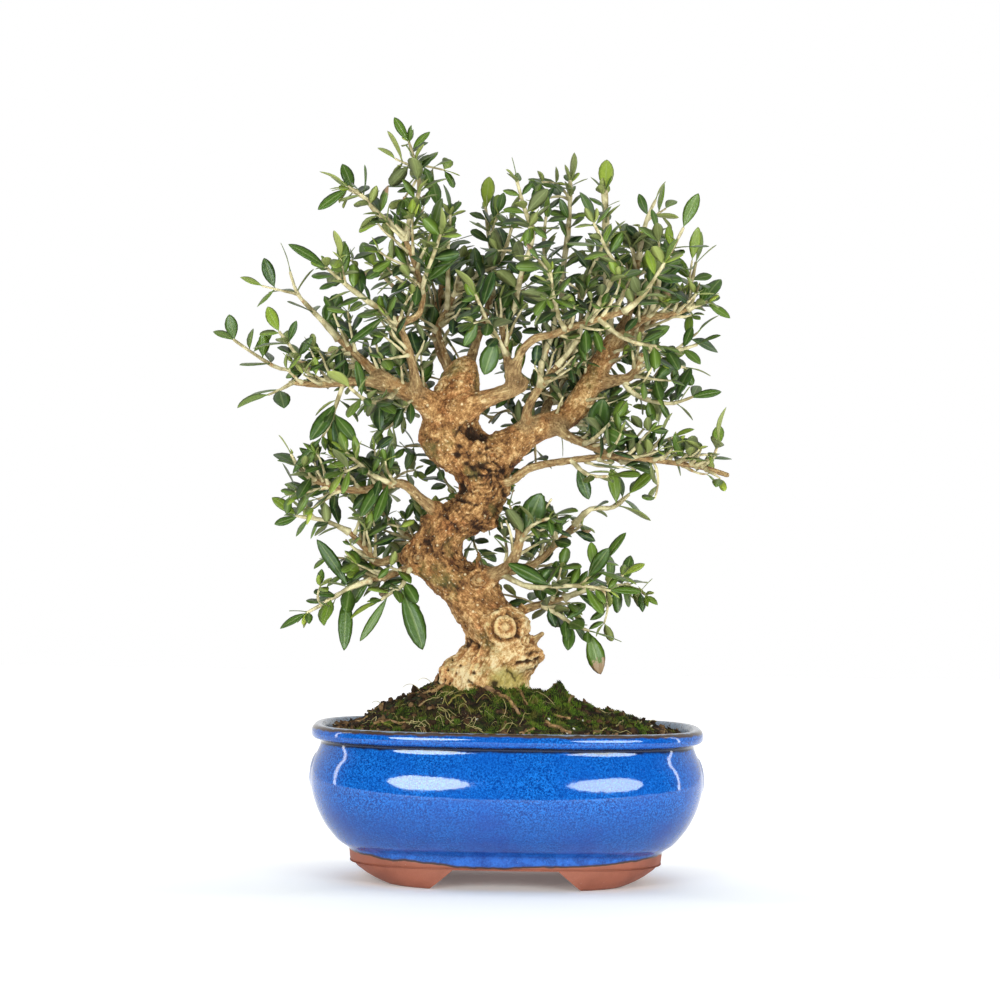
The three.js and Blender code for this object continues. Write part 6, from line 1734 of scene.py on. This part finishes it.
def make_blade(outline, across_steps):
    """A flat leaf one unit long, as a mesh that each leaf of the tree is copied from."""
    blade = bmesh.new()
    blade.loops.layers.uv.new("leaf_map")
    steps = len(outline) - 1
    for underside in (False, True):
        old = set(blade.faces)
        verts = bmesh.ops.create_grid(
            blade, x_segments=steps, y_segments=across_steps, size=1, calc_uvs=True
        )["verts"]
        leaf_map = blade.loops.layers.uv["leaf_map"]
        for face in set(blade.faces) - old:
            for loop in face.loops:
                along = outline[grid_place(loop.vert.co.x, steps)][0]
                loop[leaf_map].uv = (along, (loop.vert.co.y + 1) / 2 + 2 * underside)
            face.material_index = 1
            if underside:
                face.normal_flip()
        for vert in verts:
            along, half_width = outline[grid_place(vert.co.x, steps)]
            across = vert.co.y
            bulge = (1 - across * across) * (0.4 if half_width else 0.0) * (1.0 if along > 0.09 else 2.0)
            vert.co = (along, across * half_width * 0.5, (-1 if underside else 1) * bulge * BLADE_THICKNESS)
    bmesh.ops.remove_doubles(blade, verts=blade.verts, dist=0.0005)
    return as_mesh(blade, "blade")


fine_blade = make_blade(FINE_BLADE, 4)
small_blades = [make_blade(ROUND_BLADE, 2), make_blade(LANCE_BLADE, 2)]
print("faces of a leaf:", len(fine_blade.polygons), "or", len(small_blades[0].polygons))

# %% One leaf in its place
DRY_TIP = (0.52, -1.0)  # age and tint of a leaf whose tip has dried


def new_shape(*numbers):
    """An empty shape whose points carry the named numbers."""
    shape = bmesh.new()
    for number in numbers:
        shape.verts.layers.float.new(number)
    return shape


def copy_in(shape, mesh, numbers=()):
    """Copies a mesh into a shape. Gives the new points, and the layers of their numbers."""
    shape.from_mesh(mesh)
    shape.verts.ensure_lookup_table()
    return shape.verts[-len(mesh.vertices):], [shape.verts.layers.float[number] for number in numbers]


def age_and_tint(leaf, rng):
    """Leaves are younger at the tips and on the outside of the crown."""
    young = 1.0 if leaf.length < 9.5 else 0.0
    x, y, z = leaf.base
    outer = clamp((math.hypot((x + 12) / 118, y / 62, (z - 262) / 128) - 0.45) / 0.5)
    age = 0.06 + 0.42 * rng.random() ** 1.4 + 0.40 * outer * leaf.share + 0.35 * young * rng.random()
    tint = rng.random()
    if leaf.large:
        age, tint = 0.24 + 0.36 * age, 0.3 * tint  # the broad leaves in front are a clear green
    tip = leaf.base + leaf.direction * leaf.length
    if math.hypot(tip.x - 48, tip.z - 108) < 4 or (not leaf.fine and rng.random() < 0.01):
        return DRY_TIP
    return age, tint


def add_leaf(shape, leaf, rng):
    """One bent, folded and twisted blade, with its age and tint kept for the colour."""
    blade = fine_blade if leaf.fine else small_blades[leaf.width < 0.47 * leaf.length]
    points, (age_layer, tint_layer) = copy_in(shape, blade, ("leaf_age", "leaf_tint"))
    side = leaf.direction.cross(leaf.normal)
    fold = rng.uniform(0.05, 0.35)
    sway = rng.gauss(0, 0.05)
    twist = rng.gauss(0, 0.22)
    roll_back = rng.uniform(0.0, 0.1)
    wave = rng.uniform(0, 6)
    age, tint = age_and_tint(leaf, rng)
    for vert in points:
        along, across, thick = vert.co
        rise = fold * abs(across) * 2 - roll_back * (2 * across) ** 2
        rise += 0.05 * math.sin(6.5 * along + wave) * across * 2
        turn = twist * along
        over, up = across * leaf.width, thick + rise * 0.5 * leaf.width
        over, up = over * math.cos(turn) - up * math.sin(turn), over * math.sin(turn) + up * math.cos(turn)
        over += sway * leaf.length * along * along
        vert.co = blade_point(leaf, along, 0) + side * over + leaf.normal * up
        vert[age_layer] = age
        vert[tint_layer] = tint


# %% One twig
def add_twig(shape, twig, rng):
    """A tapered twig with a thicker foot and a small swelling every 6.6 mm along it."""
    points = twig.points
    if len(points) > 2:
        points = soft_path(points, 3)
    else:
        points = [points[0].lerp(points[1], step / 6) for step in range(7)]
    runs = runs_along(points)
    start, end = twig.radii
    phase = rng.uniform(0, 3)

    def radius_at(i, _):
        swelling = 1 + 0.13 * math.sin(runs[i] * 0.95 + phase) + 0.35 * bell(runs[i] / 2.2)
        return (start + (end - start) * (runs[i] / runs[-1])) * swelling

    tube(shape, rod_rings(points, radius_at, 6))


# %% [markdown]
# Old leaves are a dark bluish green with a gloss, younger ones are a clear green, the youngest yellowish.
# The underside is a pale grey-green, and the midrib is pale on both sides. Twigs are pale and grey-beige,
# with rusty spots.

# %% Leaf and twig recipes
blade = Recipe("olive_leaf")
map_along, map_across, _ = blade.axes(blade.add("ShaderNodeUVMap", uv_map="leaf_map").outputs[0])
underside = blade.spread(map_across, 1.4, 1.6, smooth=False)
from_rib = blade.plain_size(blade.minus(blade.minus(map_across, blade.times(underside, 2.0)), 0.5))
rib = blade.spread(from_rib, 0.03, 0.075, 1.0, 0.0)
leaf_age, leaf_tint = map(blade.attribute, ("leaf_age", "leaf_tint"))
blotch = blade.noise(420, 3)
upper = blade.layers(
    blade.ramp(leaf_age, [
        (0.0, "15251A"), (0.22, "263C19"), (0.45, "465F1E"), (0.7, "72882A"), (1.0, "B4C048"),
    ]),
    (blade.times(blade.sum("MAXIMUM", leaf_tint, 0.0), 0.24), "1C3F33"),
    (blade.spread(blotch, 0.35, 0.75, 0.0, 0.30), "5A7A26"),
)
under = blade.mix(blade.spread(leaf_age, 0.0, 1.0), "646B45", "939A4E")
dry_line = blade.spread(blade.weigh(map_along, (blade.noise(260, 3), 0.5)), 0.93, 0.98)
leaf_tone = blade.layers(
    blade.mix(underside, upper, under),
    (blade.times(rib, 0.24), "A9B276"),
    (blade.times(blade.spread(leaf_tint, -0.6, -0.4, 1.0, 0.0), dry_line), "9A7B5C"),
    (blade.spread(from_rib, 0.40, 0.50, 0.0, 0.45), "2A3A1C"),
)
gloss = blade.spread(blade.weigh(underside, (blotch, 0.3)), 0.0, 1.3, 0.31, 0.62)
blade.relief(blade.weigh(rib, blade.noise(900, 2)), 0.0004, 0.35)
leaf_material = blade.finish(leaf_tone, gloss, 0.38)

rind = Recipe("olive_twig")
twig_tone = rind.layers(
    rind.mix(rind.patches(0.35, 0.65, 1.0, 160, 3), "94855D", "DCCDA2"),
    (rind.patches(0.6, 0.7, 0.6, 240, 3), "A06A3C"),
)
rind.relief(rind.noise(1500, 3), 0.0004, 0.5)
twig_material = rind.finish(twig_tone, rind.spread(rind.noise(500, 2), 0.3, 0.7, 0.6, 0.85), 0.3)
print("leaf material:", len(blade.tree.nodes), "nodes; twig material:", len(rind.tree.nodes))

# %% Build one foliage piece for each limb
leaf_rng = random.Random(7)
for limb, group in by_limb.items():
    foliage = new_shape("leaf_age", "leaf_tint")
    foliage.loops.layers.uv.new("leaf_map")
    for branch in group:
        for leaf in branch.leaves:
            add_leaf(foliage, leaf, leaf_rng)
    for branch in group:
        for twig in branch.twigs:
            add_twig(foliage, twig, leaf_rng)
    nodes = ["branch_" + branch.name for branch in group]
    finish_piece("foliage_on_limb_" + limb, foliage, [twig_material, leaf_material], nodes)
print("leaves in all:", leaf_count())

# %% [markdown]
# ## What lies on the soil
# The soil of a bonsai is never bare: crumbs of peat and bark lie on it, moss grows in cushions, dry root
# fibres curl out of it, and a few chips and straws have fallen on it.
# Each kind gets one small model or two, copied, turned and scaled by chance. Anything that lies on the
# soil asks `ground` how high the soil is at its place, so nothing hovers.

# %% Places on the mound
FAVOURED = [  # how much moss likes it there, middle and width sideways, middle and width in depth
    (0.25, -20, 40, -40, 26), (0.75, 18, 26, -20, 34), (0.35, 62, 16, -6, 26), (0.22, -52, 22, -34, 20),
]
litter = random.Random(11)


def in_plan(x, y, half_width, half_depth):
    """Below 1 inside an oval of the pot's plan, above 1 outside it."""
    return (abs(x) / half_width) ** PLAN_POWER + (abs(y) / half_depth) ** PLAN_POWER


def on_soil(edge=0.985):
    """A random spot of the soil, in the pot's plan and off the trunk."""
    while True:
        x, y = litter.uniform(-92, 92), litter.uniform(-67, 67)
        if in_plan(x, y, 92.5, 67) < edge and math.hypot(x + 14, (y - 2) * 1.1) > 15:
            return x, y


def in_front(x, z):
    """The spot of the mound that is seen from the front at width x and height z."""
    for step in range(140):
        y = -66 + 0.5 * step
        near = nearness(y)
        height = ground(x / near, y)
        if EYE_HEIGHT + (height - EYE_HEIGHT) * near >= z:
            return Vector((x / near, y, height))
    return Vector((x, 0, ground(x, 0)))


def mossy(x, y):
    """How much moss likes a spot: most of all in front, to the right of the trunk."""
    liking = 0.55 * noise.noise(Vector((x / 13.0, y / 11.0, 5)))
    liking += 0.3 * noise.noise(Vector((x / 5.0, y / 5.0, 1)))
    for weight, at_x, wide, at_y, deep in FAVOURED:
        liking += weight * bell((x - at_x) / wide) * bell((y - at_y) / deep)
    return liking


# %% Crumbs of peat and bark
CRUMBS = 2600


def make_crumb(kind):
    crumb = bmesh.new()
    bmesh.ops.create_icosphere(crumb, subdivisions=1, radius=1)
    for vert in crumb.verts:
        vert.co *= 1 + 0.95 * noise.noise(vert.co * 1.5 + Vector((7 * kind, 0, 3)))
    return as_mesh(crumb, "crumb")


crumb_kinds = [make_crumb(kind) for kind in range(6)]
crumb_shape = new_shape("crumb_tone")
for _ in range(CRUMBS):
    x, y = on_soil()
    size = 0.4 + 1.3 * litter.random() ** 2.6
    shade = 0.1 + litter.random() ** 1.2 * 0.72
    if litter.random() < 0.02:
        shade, size = 1.0, 0.5 + 0.35 * litter.random()
    if mossy(x, y) > 0.35 and litter.random() < 0.7:
        continue
    turn = Quaternion([litter.gauss(0, 1) for _ in range(4)]).normalized()
    stretch = Vector((litter.uniform(0.8, 2.1), litter.uniform(0.6, 1.1), litter.uniform(0.5, 0.9))) * size
    points, (tone_layer,) = copy_in(crumb_shape, litter.choice(crumb_kinds), ["crumb_tone"])
    middle = Vector((x, y, ground(x, y) + 0.35 * size))
    for vert in points:
        vert.co = middle + turn @ (vert.co * stretch)
        vert[tone_layer] = shade

crumb = Recipe("peat_crumbs")
crumb_tone = crumb.layers(
    crumb.ramp(crumb.attribute("crumb_tone"), [
        (0.0, "1A110B"), (0.3, "3A2717"), (0.6, "5E432B"), (0.82, "8A6A49"), (0.9, "9C7C58"), (1.0, "E6DFCF"),
    ]),
    (crumb.patches(0.4, 0.7, 0.5, 1300, 3), "241910"),
)
finish_piece("soil_crumbs", crumb_shape, [crumb.finish(crumb_tone, 0.92, 0.2)])

# %% [markdown]
# Moss is a cushion of tiny pointed sprigs. One cushion of thirty-four sprigs is modelled, then laid over
# the soil in a few hundred places, each turned and stretched in its own way.

# %% Moss
SPRIGS = 34
CUSHIONS = 470
GOLDEN_TURN = 2.4  # from one sprig to the next, so that they spread evenly


def make_sprig():
    sprig = bmesh.new()
    bmesh.ops.create_cone(sprig, cap_ends=True, segments=3, radius1=0.5, radius2=0.0, depth=1.0)
    bmesh.ops.translate(sprig, vec=(0, 0, 0.5), verts=sprig.verts)
    return as_mesh(sprig, "sprig")


sprig_mesh = make_sprig()
cushion = bmesh.new()
for i in range(SPRIGS):
    reach = math.sqrt((i + 0.5) / SPRIGS)
    outward = Vector((math.cos(GOLDEN_TURN * i), math.sin(GOLDEN_TURN * i), 0))
    lean = outward * (0.4 * reach + litter.uniform(0, 0.5))
    lean += Vector((litter.gauss(0, 0.35), litter.gauss(0, 0.35), 0))
    rise = litter.uniform(0.75, 1.25) * (1.1 - 0.45 * reach)
    for vert in copy_in(cushion, sprig_mesh)[0]:
        x, y, up = vert.co
        vert.co = outward * reach + Vector((x, y, 0)) * 0.30 + lean * up * 0.6 + Vector((0, 0, up * rise))
cushion_mesh = as_mesh(cushion, "cushion")

moss_shape = new_shape("tip", "moss_tone")
laid = 0
while laid < CUSHIONS:
    x, y = on_soil(0.96)
    if mossy(x, y) < 0.08 + 0.3 * litter.random():
        continue
    laid += 1
    wide = litter.uniform(1.5, 3.4)
    tall = litter.uniform(1.2, 2.7) * (1.15 if mossy(x, y) > 0.6 else 0.85)
    spin = litter.uniform(0, TURN)
    shade = clamp(0.5 * mossy(x, y) + litter.uniform(-0.1, 0.45))
    points, (tip_layer, tone_layer) = copy_in(moss_shape, cushion_mesh, ("tip", "moss_tone"))
    for vert in points:
        vx, vy, vz = vert.co
        px = x + wide * (vx * math.cos(spin) - vy * math.sin(spin))
        py = y + wide * (vx * math.sin(spin) + vy * math.cos(spin))
        vert.co = (px, py, ground(px, py) - 0.25 + tall * vz)
        vert[tip_layer] = clamp(vz)
        vert[tone_layer] = shade

moss = Recipe("moss")
shade_value = moss.attribute("moss_tone")
# Painted shade: the foot of each sprig, inside the cushion, is painted near-black.
shaded_moss_foot = moss.ramp(shade_value, [(0.0, "0C0F05"), (0.5, "111C07"), (1.0, "1C3009")])
moss_high = moss.ramp(shade_value, [(0.0, "938D45"), (0.4, "73932C"), (1.0, "A6D03C")])
moss_tone = moss.layers(
    moss.mix(moss.attribute("tip"), shaded_moss_foot, moss_high),
    (moss.patches(0.47, 0.64, 0.75, 180, 3), "7C7132"),
    # Painted shade: near-black patches for the gaps between cushions.
    (moss.spread(moss.noise(170, 3, 0.6, 0.5), 0.40, 0.52, 0.78, 0.0), "0B0D05"),
)
finish_piece("moss", moss_shape, [moss.finish(moss_tone, 0.85, 0.25)])

# %% [markdown]
# Dry fibres and surface roots are thin curved tubes. The thicker ones are placed one by one: a pale root that
# leaves the trunk to the left, a brown stick before the trunk, straws on the right. The rest falls where
# chance puts it, mostly left of the trunk and in front of it.

# %% How a fibre is laid
fibre_shape = bmesh.new()
stick_shape = bmesh.new()


def lay(points, lift, sag=0.6):
    """Drapes a path over the soil, never much above it."""
    laid = []
    for point in points:
        low = ground(point.x, point.y) + lift
        laid.append(Vector((point.x, point.y, clamp(point.z, low, low + sag))))
    return laid


def tapered(shape, points, start, end, sides, wobble=0.12):
    last = len(points) - 1
    tube(shape, rod_rings(
        points,
        lambda i, turn: (start + (end - start) * i / last) * (1 + wobble * math.sin(2 * turn + 1.7 * i)),
        sides,
    ))


# %% Loose fibres
FIBRE_STEPS = 8
HAIRS = [  # x, y, the side it leans to and its reach
    (-46, 6, -1, 9), (-40, 3, -1, 7), (-52, 4, 1, 6), (-66, 2, -1, 5), (74, 4, 1, 4),
]

for _ in range(84):
    if litter.random() < 0.72:
        x, y = litter.gauss(-36, 30), litter.uniform(-60, -6)
    else:
        x, y = on_soil(0.9)
    if in_plan(x, y, 90, 65) > 0.95:
        continue
    heading = litter.uniform(0, TURN)
    length = litter.uniform(5, 17)
    arch = litter.uniform(0.2, 3.6)
    turning = litter.gauss(0, 0.35)
    points = []
    for step in range(FIBRE_STEPS + 1):
        points.append(Vector((x, y, ground(x, y) + 0.25 + arch * math.sin(math.pi * step / FIBRE_STEPS))))
        heading += turning + litter.gauss(0, 0.25)
        x += length / FIBRE_STEPS * math.cos(heading)
        y += length / FIBRE_STEPS * math.sin(heading)
    thickness = litter.uniform(0.13, 0.26)
    tapered(fibre_shape, points, thickness, thickness * 0.5, 4)
for x, y, side, reach in HAIRS:
    start = Vector((x, y, ground(x, y)))
    hair = [
        start + Vector((side * reach * t, 0.5 * math.sin(5 * t), 1.1 * reach * t * (1.25 - t)))
        for t in (0, 0.15, 0.3, 0.45, 0.6, 0.75, 0.9, 1.05)
    ]
    tapered(fibre_shape, hair, 0.2, 0.12, 4, 0.0)
print("fibres drawn:", len(fibre_shape.faces), "faces")

# %% Roots, sticks and straws
DRAWN = [  # shape, marks as seen from the front (x, z), lift, sag, radius at start and end, sides
    (fibre_shape, [(-31, 91), (-29, 94), (-27, 95), (-24, 94), (-22, 92)], 0.6, 1.6, 0.5, 0.35, 6),
    (stick_shape, [(-24, 105.5), (-30, 104), (-36, 99.5), (-40, 96)], 0.9, 0.6, 1.5, 0.6, 8),
    (stick_shape, [(-33, 102), (-39, 98), (-46, 96)], 0.7, 0.6, 0.9, 0.4, 8),
    (stick_shape, [(-12, 100), (-5, 96), (2, 91), (6, 86)], 0.9, 0.6, 1.3, 0.8, 8),
    (stick_shape, [(20, 82), (26, 79.6), (33, 76.6)], 0.8, 0.6, 1.1, 0.9, 8),
    (stick_shape, [(-70, 80), (-62, 82), (-54, 81)], 0.6, 0.6, 0.8, 0.6, 8),
    (fibre_shape, [(45, 76.4), (48.5, 78), (52, 79.6)], 0.7, 0.6, 0.4, 0.3, 5),
    (fibre_shape, [(57, 81), (58.5, 82), (60.5, 84)], 0.7, 0.6, 0.4, 0.3, 5),
]
FALLEN = 16

for shape, marks, lift, sag, start, end, sides in DRAWN:
    tapered(shape, lay(soft_path([in_front(x, z) for x, z in marks], 4), lift, sag), start, end, sides)
for _ in range(FALLEN):
    x, y = on_soil(0.85)
    heading = litter.uniform(0, TURN)
    length = litter.uniform(4, 11)
    points = [
        Vector((x + length * t * math.cos(heading), y + length * t * math.sin(heading), 0))
        for t in (0, 0.33, 0.66, 1)
    ]
    tapered(stick_shape, lay(points, 0.5), litter.uniform(0.5, 0.9), litter.uniform(0.4, 0.7), 7)

fibre = Recipe("dry_fibres")
fibre_tone = fibre.layers(
    fibre.mix(fibre.noise(60, 3), "84713F", "DCCB92"), (fibre.patches(0.45, 0.6, 1.0, 35, 2), "8C7F3C"),
)
finish_piece("root_fibres", fibre_shape, [fibre.finish(fibre_tone, 0.8, 0.25)])
stick = Recipe("dry_sticks")
stick_tone = stick.layers(
    stick.mix(stick.patches(0.35, 0.65, 1.0, 420, 4, 0.65), "5A3D24", "B08A5C"),
    (stick.patches(0.5, 0.65, 0.6, 90, 2), "A88468"),
)
stick.relief(stick.noise(1400, 3), 0.0005, 0.6)
finish_piece("fallen_sticks", stick_shape, [stick.finish(stick_tone, 0.85, 0.25)])
